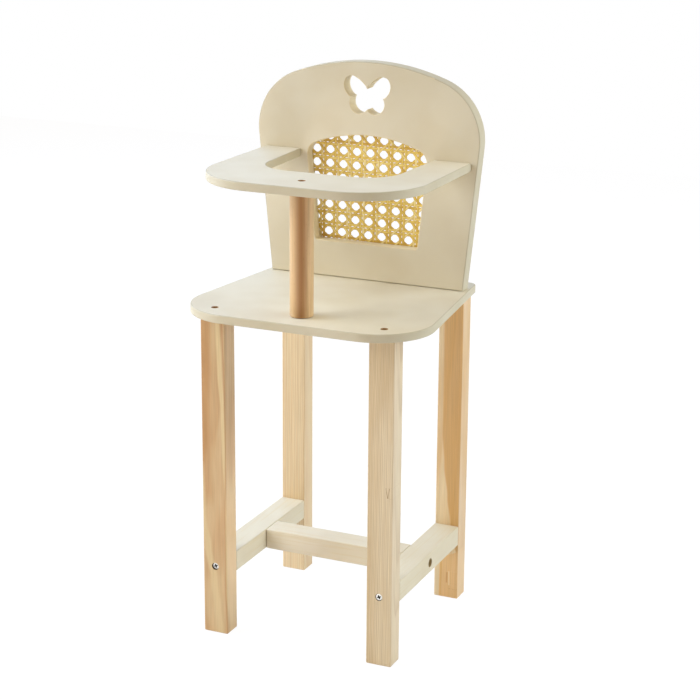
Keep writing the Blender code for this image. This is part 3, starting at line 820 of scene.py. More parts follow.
class Workpiece:
    """A piece on the bench: a mesh that is drilled, and then handed over to the scene."""

    def __init__(self, name: str, shape: BMesh, finishes: list[Finish]) -> None:
        """Puts a blank on the bench.

        Args:
            name: The piece's name.
            shape: Its solid, which is used up.
            finishes: The finish of each of its material numbers.
        """
        mesh = bpy.data.meshes.new(name)
        shape.to_mesh(mesh)
        shape.free()
        for finish in finishes:
            mesh.materials.append(finish.material())
        self.thing = bpy.data.objects.new(name, mesh)
        bpy.context.scene.collection.objects.link(self.thing)

    def cut(self, cutters: list[BMesh], finish: Finish) -> "Workpiece":
        """Cuts solids out of the piece.

        Args:
            cutters: The solids, which are used up.
            finish: What the cut walls look like.

        Returns:
            The same workpiece.
        """
        tools = []
        for number, cutter in enumerate(cutters):
            tool = Workpiece(f"{self.thing.name}_cutter_{number}", cutter, [finish]).thing
            away = self.thing.modifiers.new(tool.name, "BOOLEAN")
            away.operation, away.solver, away.material_mode = "DIFFERENCE", "EXACT", "TRANSFER"
            away.object = tool
            tools.append(tool)
        graph = bpy.context.evaluated_depsgraph_get()
        mesh = bpy.data.meshes.new_from_object(self.thing.evaluated_get(graph))
        self.thing.modifiers.clear()
        blank, self.thing.data = self.thing.data, mesh
        for spent in [blank, *(tool.data for tool in tools)]:
            bpy.data.meshes.remove(spent)
        return self

    def hand_over(self, slot: Slot, stands_for: str) -> None:
        """Shades the piece, lets it ride on the chair and hides what it stands for.

        Args:
            slot: The record's slot for its finish. Not used.
            stands_for: The CAD node that it replaces.
        """
        mesh = self.thing.data
        mesh.name = self.thing.name
        mesh.shade_smooth()
        mesh.set_sharp_from_angle(angle=math.radians(CRISP_DEG))
        even = self.thing.modifiers.new("Flat faces stay flat", "WEIGHTED_NORMAL")
        even.keep_sharp = True
        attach(self.thing, "root")
        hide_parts(stands_for)
        LOG.info("%s: %d faces", self.thing.name, len(mesh.polygons))


# Fixings


@dataclass(frozen=True)
class Screw:
    """A countersunk screw, driven along way from a point on a surface until its head is sunk below it."""

    node: str
    surface: Vector
    way: Vector
    long: float
    sink: float
    through: tuple[str, ...]
    recess_across: float = 8.0 * MM  # of the bore over its head

    def place(self) -> Matrix:
        """Returns the matrix that takes a screw drawn head up at the origin to its place."""
        turn = Vector((0, 0, -1)).rotation_difference(self.way).to_matrix().to_4x4()
        return Matrix.Translation(self.surface + self.way * self.sink) @ turn


@dataclass(frozen=True)
class Dowel:
    """A locating dowel, which stays the CAD's own, and for which the pieces get blind holes."""

    node: str
    through: tuple[str, ...]

    def hole(self, sides: int = 20) -> BMesh:
        """Makes the round hole for the dowel, which is longest along its own length.

        Args:
            sides: How many facets go round.

        Returns:
            The hole as a solid, in its place.
        """
        low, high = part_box(self.node)
        sizes = high - low
        axis = max(range(3), key=lambda i: sizes[i])
        half, radius = sizes[axis] / 2 + FIT_GAP, min(sizes) / 2 + FIT_GAP
        drill = turned([(0, half), (radius, half), (radius, -half), (0, -half)], sides)
        way = Vector([1.0 if i == axis else 0.0 for i in range(3)])
        turn = Vector((0, 0, 1)).rotation_difference(way).to_matrix().to_4x4()
        return shift(drill, Matrix.Translation(middle_of(self.node)) @ turn)


@dataclass
class Fixings:
    """The chair's screws and dowels, and the holes that they need."""

    head_across: float = 7.0 * MM
    head_tall: float = 2.1 * MM
    rim: float = 0.4 * MM
    shank_across: float = 3.8 * MM
    point_long: float = 4.5 * MM
    cross_long: float = 5.4 * MM
    cross_slot: float = 1.5 * MM
    cross_deep: float = 1.7 * MM
    cross_taper: float = 0.45
    cross_turn_deg: float = 22.5
    # The length of each kind of screw, and how far its head is sunk.
    leg: tuple[float, float] = (45 * MM, 0.5 * MM)
    front_left_leg: tuple[float, float] = (45 * MM, 1.6 * MM)
    cross_rail: tuple[float, float] = (50 * MM, 5 * MM)
    board: tuple[float, float] = (35 * MM, 3.5 * MM)
    tray_arm: tuple[float, float] = (40 * MM, 3 * MM)
    cross_rail_recess: float = 9.8 * MM  # across, over the heads of the cross rail's screws
    seat_inset: float = 6 * MM
    back_spacing: float = 60 * MM
    sides: int = 32
    screws: list[Screw] = field(default_factory=list)
    dowels: list[Dowel] = field(default_factory=list)

    def plan(self) -> None:
        """Lists every screw and dowel, placed from the CAD's pieces."""
        (seat_low, seat_high), (_, back_high), (_, tray_high) = (
            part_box(f"{name}_board") for name in ("seat", "backrest", "tray"))
        post_y, back_y = middle_of("tray_post").y, middle_of("backrest_board").y
        down, up = Vector((0, 0, -1)), Vector((0, 0, 1))
        for hand in Hand:
            side = hand.name.lower()
            rail = f"{side}_side_rail"
            rail_low, rail_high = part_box(rail)
            middle = middle_of(rail)
            for end in End:
                corner = f"{end.name.lower()}_{side}"
                leg = f"{corner}_leg"
                leg_low, leg_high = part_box(leg)
                face = leg_low.y if end is End.FRONT else leg_high.y
                size = self.front_left_leg if leg == "front_left_leg" else self.leg
                spot = Vector((middle.x, face, middle.z))
                self.screws.append(Screw(f"{leg}_screw", spot, Vector((0, end.value, 0)), *size, (leg, rail)))
                spot = Vector((middle.x, face + end.value * self.seat_inset, seat_high.z))
                self.screws.append(Screw(
                    f"{corner}_seat_screw", spot, down, *self.board, ("seat_board", leg)))
                self.dowels.append(Dowel(f"{corner}_rail_dowel", (leg, rail)))
                self.dowels.append(Dowel(f"{corner}_seat_dowel", ("seat_board", leg)))
            spot = Vector((rail_high.x if hand is Hand.RIGHT else rail_low.x, middle.y, middle.z))
            self.screws.append(Screw(
                f"{side}_cross_rail_screw", spot, Vector((-hand.value, 0, 0)), *self.cross_rail,
                (rail, "cross_rail"), self.cross_rail_recess))
            node = f"{side}_tray_arm_screw"
            spot = Vector((middle_of(node).x, back_high.y, middle_of("tray_board").z))
            self.screws.append(Screw(
                node, spot, Vector((0, -1, 0)), *self.tray_arm, ("backrest_board", "tray_board")))
            self.dowels.append(Dowel(f"{side}_cross_rail_dowel", (rail, "cross_rail")))
            self.dowels.append(Dowel(f"{side}_backrest_dowel", ("seat_board", "backrest_board")))
        for name, x, y, z, way, through in (
            ("left_backrest", -self.back_spacing, back_y, seat_low.z, up, ("seat_board", "backrest_board")),
            ("middle_backrest", 0, back_y, seat_low.z, up, ("seat_board", "backrest_board")),
            ("right_backrest", self.back_spacing, back_y, seat_low.z, up, ("seat_board", "backrest_board")),
            ("post_foot", 0, post_y, seat_low.z, up, ("seat_board", "tray_post")),
            ("tray", 0, post_y, tray_high.z, down, ("tray_board", "tray_post")),
        ):
            self.screws.append(Screw(f"{name}_screw", Vector((x, y, z)), way, *self.board, through))

    def holes(self, node: str) -> list[BMesh]:
        """Makes the drills for one piece.

        Args:
            node: The CAD node that the piece stands for.

        Returns:
            A stepped solid for each of its screws and a round one for each dowel.
        """
        drills = []
        neck, shank = self.head_across / 2 + FIT_GAP, self.shank_across / 2 + FIT_GAP
        for screw in self.screws:
            if node in screw.through:
                recess, top, end = screw.recess_across / 2, screw.sink + OVERRUN, -screw.long - FIT_GAP
                drills.append(shift(turned([
                    (0, top), (recess, top), (recess, -FIT_GAP), (neck, -self.rim - FIT_GAP),
                    (shank, -self.head_tall - FIT_GAP), (shank, end), (0, end)], self.sides), screw.place()))
        return drills + [dowel.hole() for dowel in self.dowels if node in dowel.through]

    def cross_arm(self, turn_deg: float) -> BMesh:
        """Makes one tapered arm pair of the driver's cross, at the origin.

        Args:
            turn_deg: Its turn about Z.

        Returns:
            A closed solid.
        """
        arm = bmesh.new()
        bmesh.ops.create_cube(arm, size=1)
        for vert in arm.verts:
            if vert.co.z < 0:
                vert.co.x *= self.cross_taper
        tall = self.cross_deep + OVERRUN
        bmesh.ops.scale(arm, verts=arm.verts, vec=(self.cross_long, self.cross_slot, tall))
        bmesh.ops.translate(arm, verts=arm.verts, vec=(0, 0, OVERRUN - tall / 2))
        return shift(arm, Matrix.Rotation(math.radians(turn_deg), 4, "Z"))

    def blank(self, long: float) -> BMesh:
        """Makes a screw without its cross.

        Args:
            long: Its length.

        Returns:
            A closed solid that points down, with its head's top at the origin.
        """
        head, shank, ease = self.head_across / 2, self.shank_across / 2, self.rim / 3
        return turned([
            (0, 0), (head - 2 * ease, 0), (head - ease / 2, -ease / 2), (head, -2 * ease), (head, -self.rim),
            (shank, -self.head_tall), (shank, self.point_long - long), (0, -long)], self.sides)

    def drive(self) -> None:
        """Makes every screw, with its cross recess, in its place."""
        for screw in self.screws:
            piece = Workpiece(f"plated_{screw.node}", self.blank(screw.long), [PLATED])
            piece.cut([self.cross_arm(self.cross_turn_deg + turn) for turn in (0, 90)], SHADED_RECESS_STEEL)
            piece.thing.data.transform(screw.place())
            piece.hand_over(Slot.STEEL, screw.node)

    def dress_dowels(self) -> None:
        """Gives the CAD's dowels their raw beech."""
        for dowel in self.dowels:
            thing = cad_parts[dowel.node]
            thing.data.materials.clear()
            thing.data.materials.append(RAW_BEECH.material())
            LOG.info("%s: raw beech", dowel.node)


# Sub-assemblies


@dataclass
class LegFrame:
    """Four pine legs with a lacquered rail on each side and one across."""

    fixings: Fixings
    rounding: float = EASED
    pines: dict[str, dict[str, object]] = field(default_factory=lambda: {
        "front_left_leg": dict(
            spring="#CCB186", summer="#B08049", blush="#B98A5A", pith_mm=(-5.0, 46.0), lean_deg=(1.2, -2.6),
            ring_mm=5.2, sway_mm=3.2, seed=3.1, contrast=0.5, blush_share=0.5, streaks=(
                Streak("#D8C495", 2.6, 0.8, (
                    (0, 15), (160, 14.5), (212, 12), (250, 10.5), (294, 7.5), (HEAD_MM, 5.7))),
                Streak("#D5C093", 4.2, 0.75, (
                    (0, 5), (30, 2), (63, -2), (100, -9), (130, -15), (HEAD_MM, -OFF_MM)), 0.5),
                Streak("#B27E40", 6.0, 0.6, ((0, -OFF_MM), (150, -26), (230, -12), (HEAD_MM, -9)), 0.6),
                Streak("#B07A48", 0.8, 0.6, (
                    (0, 13), (60, 12), (130, 12.5), (200, 13.8), (260, 12.6), (HEAD_MM, 11)), 0.8),
                side_wood("#F1D1A8"))),
        "front_right_leg": dict(
            spring="#E1D2B3", summer="#B1976F", blush="#C9AF83", pith_mm=(-75.0, 6.0), lean_deg=(0.5, 0.9),
            ring_mm=1.6, sway_mm=1.6, seed=7.7, contrast=0.7, blush_share=0.3, streaks=(
                mark("#94703E", 0.4, 0.7, (186, 8.4), (198, 6.6), 0.6),
                mark("#94703E", 0.4, 0.7, (186, 8.8), (199, 10.4), 0.6),
                # This wide streak darkens the leg towards its head, under the seat: painted shade.
                Streak("#BFA272", 24.0, 0.45, ((0, -30), (230, -30), (HEAD_MM, -2)), 0.4),
                side_wood("#E6D3B8", 0.7))),
        "rear_left_leg": dict(
            spring="#E9D5AF", summer="#D2A66D", blush="#DCB88B", pith_mm=(-90.0, 10.0), lean_deg=(0.2, 0.35),
            ring_mm=2.3, sway_mm=1.2, seed=11.3, contrast=0.6, blush_share=0.2,
            streaks=(side_wood("#E8D0AA"),)),
        "rear_right_leg": dict(
            spring="#F0DBB4", summer="#DAAB66", blush="#E4BB7F", pith_mm=(-16.0, 44.0), lean_deg=(1.0, 0.8),
            ring_mm=5.0, sway_mm=2.0, seed=5.9, contrast=0.45, blush_share=0.35, streaks=(
                Streak("#D3A359", 12.0, 0.8, (
                    (0, OFF_MM), (48, OFF_MM), (62, 22), (90, 16), (121, 12), (158, 7.5), (196, 4.7),
                    (HEAD_MM, 4.7)), 0.12),
                Streak("#EABF80", 12.5, 0.8, ((0, 4.5), (45, 4.5), (60, OFF_MM), (HEAD_MM, OFF_MM)), 0.12),
                mark("#C9853C", 0.8, 0.6, (17, 0.6), (31, 1.0), 0.9),
                mark("#FBE4BA", 0.7, 0.8, (14, 3.4), (33, 3.2), 0.7),
                mark("#A9713A", 0.8, 0.8, (10, 3), (12, 3), 0.6),
                Streak("#E3B468", 1.3, 0.7, (
                    (0, -7), (45, -6.4), (56, -9), (70, -OFF_MM), (HEAD_MM, -OFF_MM)), 0.6),
                Streak("#F0D9B0", 3.2, 0.8, (
                    (0, -12.2), (45, -12.2), (70, -12.5), (120, -OFF_MM), (HEAD_MM, -OFF_MM)), 0.4),
                side_wood("#EAD3B4"))),
    })

    def build(self) -> None:
        """Makes the legs and the rails."""
        for node, look in self.pines.items():
            pine = VarnishedPine(f"clear_varnished_pine_{node}", middle=tuple(middle_of(node)), **look)
            self.stick(node, f"pine_{node}", pine, SHADED_LEG_BORE, Slot.PINE)
        for node, finish, drilled in (
            ("left_side_rail", SIDE_RAIL, LIT_RAIL_BORE), ("right_side_rail", SIDE_RAIL, LIT_RAIL_BORE),
            ("cross_rail", CROSS_RAIL, BARE_PINE),
        ):
            self.stick(node, f"lacquered_{node}", finish, drilled, Slot.PAINT)

    def stick(self, node: str, name: str, finish: Finish, drilled: Finish, slot: Slot) -> None:
        """Makes one leg or rail.

        Args:
            node: The CAD node that it stands for.
            name: The piece's name.
            finish: Its finish.
            drilled: What its holes look like.
            slot: The record's slot.
        """
        piece = Workpiece(name, planed_box(*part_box(node), self.rounding), [finish])
        piece.cut(self.fixings.holes(node), drilled).hand_over(slot, node)


@dataclass
class LevelBoard:
    """A board that lies level, its outline rounded at the corners."""

    fixings: Fixings
    rounding: float = EASED

    def saw(self, node: str, corners: list[tuple[float, float, float]]) -> None:
        """Makes the board at the height of its CAD node, and drills it.

        Args:
            node: The CAD node that it stands for.
            corners: Its corners, as Pencil.cornered takes them.
        """
        low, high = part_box(node)
        pencil = Pencil()
        pencil.cornered(corners, self.rounding)
        shape = shift(pencil.board(high.z - low.z), Matrix.Translation((0, 0, (low.z + high.z) / 2)))
        piece = Workpiece(f"lacquered_{node}", shape, [BOARD_FACE, SHADED_BOARD_EDGE])
        piece.cut(self.fixings.holes(node), BARE_MDF).hand_over(Slot.PAINT, node)


@dataclass
class Seat(LevelBoard):
    """The seat board: large round front corners, and sides that come in towards the rear."""

    front_wide: float = 283.4 * MM  # where the sides would meet the front line
    rear_wide: float = 230.0 * MM
    front_corner: float = 60.4 * MM
    rear_corner: float = 10 * MM

    def build(self) -> None:
        """Makes the seat board."""
        low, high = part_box("seat_board")
        front, rear = self.front_wide / 2, self.rear_wide / 2
        self.saw("seat_board", [
            (-front, low.y, self.front_corner), (front, low.y, self.front_corner),
            (rear, high.y, self.rear_corner), (-rear, high.y, self.rear_corner)])


@dataclass
class Tray(LevelBoard):
    """The tray board with its waist cut-out, on a round post."""

    front_wide: float = 242.6 * MM
    rear_wide: float = 241.0 * MM
    front_corner: float = 74.8 * MM
    lap_deep: float = 74.8 * MM
    waist_front_wide: float = 146.7 * MM
    waist_rear_wide: float = 157.0 * MM
    waist_corner: float = 38.2 * MM
    post_rounding: float = EASED
    post_steps: int = 4  # straight bits round its rims
    post_sides: int = 96

    def build(self) -> None:
        """Makes the tray board and the post."""
        low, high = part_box("tray_board")
        half = [
            (self.front_wide / 2, low.y, self.front_corner), (self.rear_wide / 2, high.y, 0),
            (self.waist_rear_wide / 2, high.y, 0),
            (self.waist_front_wide / 2, low.y + self.lap_deep, self.waist_corner)]
        other = [(-x, y, radius) for x, y, radius in reversed(half)]
        self.saw("tray_board", other[-1:] + half + other[:-1])
        self.turn_post()

    def turn_post(self) -> None:
        """Makes the post."""
        low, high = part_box("tray_post")
        radius, half, ease = (high.x - low.x) / 2, (high.z - low.z) / 2, self.post_rounding
        profile = [(0.0, half)]
        for step in range(self.post_steps + 1):
            angle = math.pi / 2 * step / self.post_steps
            profile.append((radius - ease + ease * math.sin(angle), half - ease + ease * math.cos(angle)))
        profile += [(across, -height) for across, height in reversed(profile)]
        middle = middle_of("tray_post")
        shape = shift(turned(profile, self.post_sides), Matrix.Translation(middle))
        beech = TurnedBeech("clear_varnished_turned_beech", middle=(middle.x, middle.y))
        piece = Workpiece("beech_tray_post", shape, [beech])
        piece.cut(self.fixings.holes("tray_post"), BARE_PINE).hand_over(Slot.BEECH, "tray_post")


@dataclass(frozen=True)
class Crowned:
    """A symmetric outline: flat foot, sides that lean out, round shoulders, shallow arch on top."""

    foot_half: float
    lean: float  # how far a side goes out for each unit of height
    foot: float
    top: float
    crown: float
    corner: float
    foot_corner: float = 0.0
    foot_steps: int = 5

    def shoulder(self) -> tuple[float, float, float, float, float]:
        """Works out where the shoulder fits inside both the side and the arch.

        Returns:
            The shoulder centre's place, the arch centre's height, and the angles where the shoulder
            leaves the side and meets the arch.
        """
        middle = self.top - self.crown
        base = self.foot_half - self.lean * self.foot - self.corner * math.hypot(1, self.lean)
        a = 1 + self.lean ** 2
        b = 2 * (base * self.lean - middle)
        c = base ** 2 + middle ** 2 - (self.crown - self.corner) ** 2
        z = (-b + math.sqrt(b * b - 4 * a * c)) / (2 * a)
        x = base + self.lean * z
        return x, z, middle, -math.atan(self.lean), math.atan2(z - middle, x)

    def draw(self, pencil: Pencil, steps: int, rounding: float) -> None:
        """Draws the outline, anticlockwise from the right foot.

        Args:
            pencil: What draws it.
            steps: How many straight bits a shoulder is made of, and half the arch.
            rounding: Of its rims.
        """
        x, z, middle, from_side, from_arch = self.shoulder()
        ease = 2 * self.foot_corner
        sill = Vector((0, self.foot))
        foot = Vector((self.foot_half, self.foot))
        side = Vector((self.foot_half + self.lean * ease, self.foot + ease))
        if self.foot_corner:
            pencil.corner(sill, foot, side, self.foot_corner, self.foot_steps)
        else:
            pencil.line_to(*foot)
        pencil.arc((x, z), self.corner, from_side, from_arch, steps)
        pencil.arc((0, middle), self.crown, from_arch, math.pi - from_arch, 2 * steps)
        pencil.arc((-x, z), self.corner, math.pi - from_arch, math.pi - from_side, steps)
        foot.x, side.x = -foot.x, -side.x
        if self.foot_corner:
            pencil.corner(side, foot, sill, self.foot_corner, self.foot_steps)
        else:
            pencil.line_to(*foot)
        pencil.close(rounding)

    def tangents(self, count: int) -> list[tuple[Vector, Vector]]:
        """Lists flat cuts that go round the outline.

        Args:
            count: How many cuts follow each of its curves.

        Returns:
            For each cut, a point on it and the way out.
        """
        x, z, middle, from_side, from_arch = self.shoulder()
        cuts = [(Vector((0, self.foot, 0)), Vector((0, -1, 0)))]
        curves = (
            (x, z, self.corner, from_side, from_arch, 0), (0, middle, self.crown, from_arch, math.pi / 2, 1))
        for sign in (1, -1):
            for across, up, radius, start, end, first in curves:
                for step in range(first, count + 1):
                    angle = start + (end - start) * step / count
                    out = Vector((sign * math.cos(angle), math.sin(angle), 0))
                    cuts.append((Vector((sign * across, up, 0)) + out * radius, out))
        return cuts


@dataclass
class Backrest:
    """The backrest board: flared, arched, with a butterfly cut-out and a cane window in a rebate."""

    fixings: Fixings
    tall: float = 239.5 * MM
    foot_wide: float = 227.8 * MM
    shoulder_wide: float = 276.2 * MM  # where the sides would reach the top
    shoulder_corner: float = 66.9 * MM
    crown: float = 246.0 * MM
    sill: float = 40.4 * MM
    window_tall: float = 119.5 * MM
    border: float = 57.8 * MM
    window_shoulder: float = 14.2 * MM
    window_crown: float = 163.5 * MM
    sill_corner: float = 3.0 * MM
    rebate_deep: float = 4.8 * MM
    rebate_lip: float = 8.0 * MM
    rebate_rounding: float = 0.01 * MM
    frame_hide: float = 1.0 * MM
    frame_rounding: float = 0.4 * MM
    cane_inset: float = 1.2 * MM
    rounding: float = EASED
    butterfly_rounding: float = 0.6 * MM
    butterfly_base: float = 183.1 * MM
    butterfly_wide: float = 53.3 * MM
    butterfly_tall: float = 40.7 * MM
    butterfly_steps: int = 3  # straight bits from one point of its outline to the next
    # The right half's outline, as shares of half the width and of the height, in runs between its notches.
    wing_shares: tuple[tuple[tuple[float, float], ...], ...] = (
        ((0.0, 0.668), (0.093, 0.76), (0.264, 0.867), (0.44, 0.944), (0.61, 0.995), (0.763, 0.998),
         (0.912, 0.94), (1.0, 0.794), (0.976, 0.642), (0.883, 0.533), (0.767, 0.46), (0.689, 0.441)),
        ((0.689, 0.441), (0.735, 0.36), (0.752, 0.266), (0.704, 0.15), (0.577, 0.053), (0.41, 0.0),
         (0.261, 0.005), (0.112, 0.053), (0.0, 0.121)),
    )

    def lean(self) -> float:
        """Returns how far a side goes out for each unit of height."""
        return (self.shoulder_wide - self.foot_wide) / 2 / self.tall

    def window(self, grow: float) -> Crowned:
        """Works out the window's outline.

        Args:
            grow: How far outside the window itself it runs.

        Returns:
            The outline.
        """
        foot = self.sill - grow
        half = self.foot_wide / 2 + self.lean() * foot - self.border + grow * math.hypot(1, self.lean())
        return Crowned(
            half, self.lean(), foot, self.sill + self.window_tall + grow, self.window_crown + grow,
            self.window_shoulder + grow, self.sill_corner + grow)

    def draw_butterfly(self, pencil: Pencil) -> None:
        """Draws the butterfly, each run of its outline as a rounded line through its points.

        Args:
            pencil: What draws it.
        """
        half: list[Vector] = []
        for shares in self.wing_shares:
            points = [
                Vector((x * self.butterfly_wide / 2, self.butterfly_base + z * self.butterfly_tall))
                for x, z in shares]
            for i in range(len(points) - 1):
                p0, p1, p2, p3 = (points[min(max(i + k, 0), len(points) - 1)] for k in (-1, 0, 1, 2))
                for step in range(self.butterfly_steps):
                    t = step / self.butterfly_steps
                    half.append((
                        (2 * p1) + (p2 - p0) * t + (2 * p0 - 5 * p1 + 4 * p2 - p3) * t**2
                        + (3 * p1 - p0 - 3 * p2 + p3) * t**3) / 2)
        half.append(points[-1])
        for point in half + [Vector((-p.x, p.y)) for p in reversed(half[1:-1])]:
            pencil.line_to(*point)
        pencil.close(self.butterfly_rounding)

    def build(self) -> None:
        """Makes the board, the cane's retaining frame and the cane."""
        low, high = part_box("backrest_board")
        pencil = Pencil()
        outer = Crowned(self.foot_wide / 2, self.lean(), 0.0, self.tall, self.crown, self.shoulder_corner)
        outer.draw(pencil, BOARD_STEPS, self.rounding)
        self.window(0.0).draw(pencil, WINDOW_STEPS, self.rounding)
        self.draw_butterfly(pencil)
        shape = pencil.board(high.y - low.y)
        # The walls of the window and of the butterfly get a paler cream of their own, which paints light on
        # them.
        for face in shape.faces:
            spot = face.calc_center_median()
            inside = self.sill / 2 < spot.y < self.butterfly_base + 1.1 * self.butterfly_tall
            if face.material_index == 1 and inside and abs(spot.x) < self.foot_wide / 3:
                face.material_index = 2
        shift(shape, Matrix.Translation((0, (low.y + high.y) / 2, low.z)) @ UPRIGHT)
        piece = Workpiece("lacquered_backrest_board", shape, [BOARD_FACE, SHADED_BOARD_EDGE, BOARD_CUT_LIT])
        pencil = Pencil()
        self.window(self.rebate_lip).draw(pencil, WINDOW_STEPS, self.rebate_rounding)
        deep = self.rebate_deep + OVERRUN
        stand = Matrix.Translation((0, high.y - self.rebate_deep + deep / 2, low.z)) @ UPRIGHT
        piece.cut([shift(pencil.board(deep, 1), stand)], SHADED_BOARD_EDGE)
        piece.cut(self.fixings.holes("backrest_board"), BARE_MDF).hand_over(Slot.PAINT, "backrest_board")
        self.hold_cane(low.z)

    def hold_cane(self, foot: float) -> None:
        """Makes the retaining frame and the cane behind the window.

        Args:
            foot: The height of the backrest's foot.
        """
        low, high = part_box("cane_retaining_frame")
        pencil = Pencil()
        for grow in (self.rebate_lip - FIT_GAP, self.frame_hide):
            self.window(grow).draw(pencil, WINDOW_STEPS, self.frame_rounding)
        stand = Matrix.Translation((0, (low.y + high.y) / 2, foot)) @ UPRIGHT
        shape = shift(pencil.board(high.y - low.y, 2), stand)
        piece = Workpiece("lacquered_cane_retaining_frame", shape, [BOARD_FACE, SHADED_BOARD_EDGE])
        piece.hand_over(Slot.PAINT, "cane_retaining_frame")
        stand = Matrix.Translation((0, middle_of("cane_panel").y, foot)) @ UPRIGHT
        CaneWebbing(self.window(self.rebate_lip - self.cane_inset), stand, self.sill).weave()


@dataclass
class CaneWebbing:
    """Cane woven in six: pairs of upright and level strands, and single strands both ways across them."""

    edge: Crowned
    stand: Matrix
    sill: float
    across: float = 15.85 * MM  # between two columns of holes
    up: float = 15.2 * MM
    column_shift: float = -1.3 * MM
    first_row: float = 7.1 * MM
    turn_deg: float = -1.0  # the webbing went in a little askew
    count: int = 14  # the rows and the columns to each side, more than the window shows
    strand_long: float = 460 * MM  # before the window's edge cuts it
    strand_wide: float = 2.75 * MM
    cross_wide: float = 2.5 * MM  # of the rising and falling strands
    strand_thick: float = 0.38 * MM
    pair_half: float = 1.8 * MM  # from the middle of a pair to the middle of its strand
    pair_wave: float = 0.24 * MM
    cross_wave: float = 0.47 * MM
    cross_rush: float = 2.2  # how soon a crossing strand is all the way at the front or the back
    belly: float = 0.10 * MM
    step: float = 1.2 * MM
    edge_cuts: int = 5  # round each curve of the edge
    seed: int = 7
    # How dark and how pale a strand of each run may be: 0 is brown and 0.6 is pale.
    tones: dict[Run, tuple[float, float]] = field(default_factory=lambda: {
        Run.UPRIGHT: (0.15, 0.6), Run.RISING: (0.2, 0.55), Run.LEVEL: (0.05, 0.4), Run.FALLING: (0.1, 0.45)})

    def level(self, run: Run, x: float, y: float) -> float:
        """Works out how far a strand's middle stands forward.

        Args:
            run: The way that it runs.
            x: Place across.
            y: Place up.

        Returns:
            The distance, forward positive.
        """
        # Whole numbers are the holes' middles.
        u, v = (x - self.column_shift) / self.across, (y - self.sill - self.first_row) / self.up
        if run in (Run.RISING, Run.FALLING):
            swing = math.tanh(self.cross_rush * math.cos(2 * math.pi * v)) / math.tanh(self.cross_rush)
            return self.cross_wave * swing * (-1 if run is Run.RISING else 1)
        off_x, off_y = (u - 0.5 - round(u - 0.5)) * self.across, (v - 0.5 - round(v - 0.5)) * self.up
        along, aside = (off_y, -off_x) if run is Run.UPRIGHT else (off_x, off_y)
        reach = 2 * self.pair_half
        wave = math.sin(math.pi * along / reach) if abs(along) < reach else 0.0
        return math.copysign(self.pair_wave, aside) * wave

    def middles(self, run: Run) -> list[Vector]:
        """Lists where the strands that run one way pass.

        Args:
            run: The way.

        Returns:
            A point on the middle of each strand.
        """
        origin = Vector((self.column_shift, self.sill + self.first_row, 0))
        if run in (Run.RISING, Run.FALLING):
            lanes = [(k + 0.5) * self.across for k in range(-2 * self.count, 2 * self.count)]
            return [origin + Vector((lane, 0, 0)) for lane in lanes]
        apart, way = (self.across, Vector((1, 0, 0))) if run is Run.UPRIGHT else (self.up, Vector((0, 1, 0)))
        return [
            origin + way * ((k + 0.5) * apart + side * self.pair_half)
            for k in range(-self.count, self.count) for side in (-1, 1)]

    def askew(self) -> Matrix:
        """Returns the turn of the whole webbing round the middle of the window."""
        middle = Matrix.Translation((0, (self.edge.foot + self.edge.top) / 2, 0))
        return middle @ Matrix.Rotation(math.radians(self.turn_deg), 4, "Z") @ middle.inverted()

    def weave(self) -> None:
        """Makes the strands of each way as one piece."""
        chance = random.Random(self.seed)
        for run in Run:
            shape = shift(self.strands(run, chance), self.stand @ self.askew())
            cane = PeeledCane(f"peeled_cane_{run.name.lower()}", run=run)
            Workpiece(f"cane_{run.name.lower()}_strands", shape, [cane]).hand_over(Slot.CANE, "cane_panel")

    def strands(self, run: Run, chance: random.Random) -> BMesh:
        """Makes flat strands, cuts them to the rebate, weaves them and gives them their thickness.

        Args:
            run: The way that they run.
            chance: Where their tones come from.

        Returns:
            The strands, closed.
        """
        shape = bmesh.new()
        tone = shape.verts.layers.float.new("strand_tone")
        aside = shape.verts.layers.float.new("aside")
        if run in (Run.UPRIGHT, Run.LEVEL):
            wide, angle = self.strand_wide, math.radians(run.value)
        else:
            wide, angle = self.cross_wide, math.atan2(self.up if run is Run.RISING else -self.up, self.across)
        centre = Vector((0, (self.edge.foot + self.edge.top) / 2, 0))
        along = Vector((math.cos(angle), math.sin(angle), 0))
        side = Vector((-along.y, along.x, 0))
        for middle in self.middles(run):
            nearest = middle + along * (centre - middle).dot(along)
            if abs(nearest.x) > self.edge.top or abs(nearest.y - centre.y) > self.edge.top:
                continue
            laid = Matrix.Translation(nearest) @ Matrix.Rotation(angle, 4, "Z")
            made = bmesh.ops.create_grid(
                shape, x_segments=int(self.strand_long / self.step), y_segments=3, size=0.5,
                matrix=laid @ Matrix.Diagonal((self.strand_long, wide, 1, 1)))
            own = chance.uniform(*self.tones[run])
            for vert in made["verts"]:
                vert[tone] = own
                vert[aside] = (vert.co - nearest).dot(side) / (wide / 2)
        back = self.askew().inverted()
        for point, out in self.edge.tangents(self.edge_cuts):
            bmesh.ops.bisect_plane(
                shape, geom=list(shape.verts) + list(shape.edges) + list(shape.faces), dist=SAME_SPOT,
                plane_co=back @ point, plane_no=back.to_3x3() @ out, clear_outer=True)
        for vert in shape.verts:
            on = vert.co - side * wide / 2 * vert[aside]
            vert.co.z = self.level(run, on.x, on.y) - self.strand_thick / 2
            vert.co.z += self.belly * (1 - vert[aside] ** 2)
        thicken(shape, self.strand_thick)
        return shape


# Studio


def outward(azimuth: float, elevation: float) -> Vector:
    """Returns the direction at an azimuth and an elevation, both in degrees, from the chair."""
    a, e = math.radians(azimuth), math.radians(elevation)
    return Vector((math.sin(a) * math.cos(e), -math.cos(a) * math.cos(e), math.sin(e)))


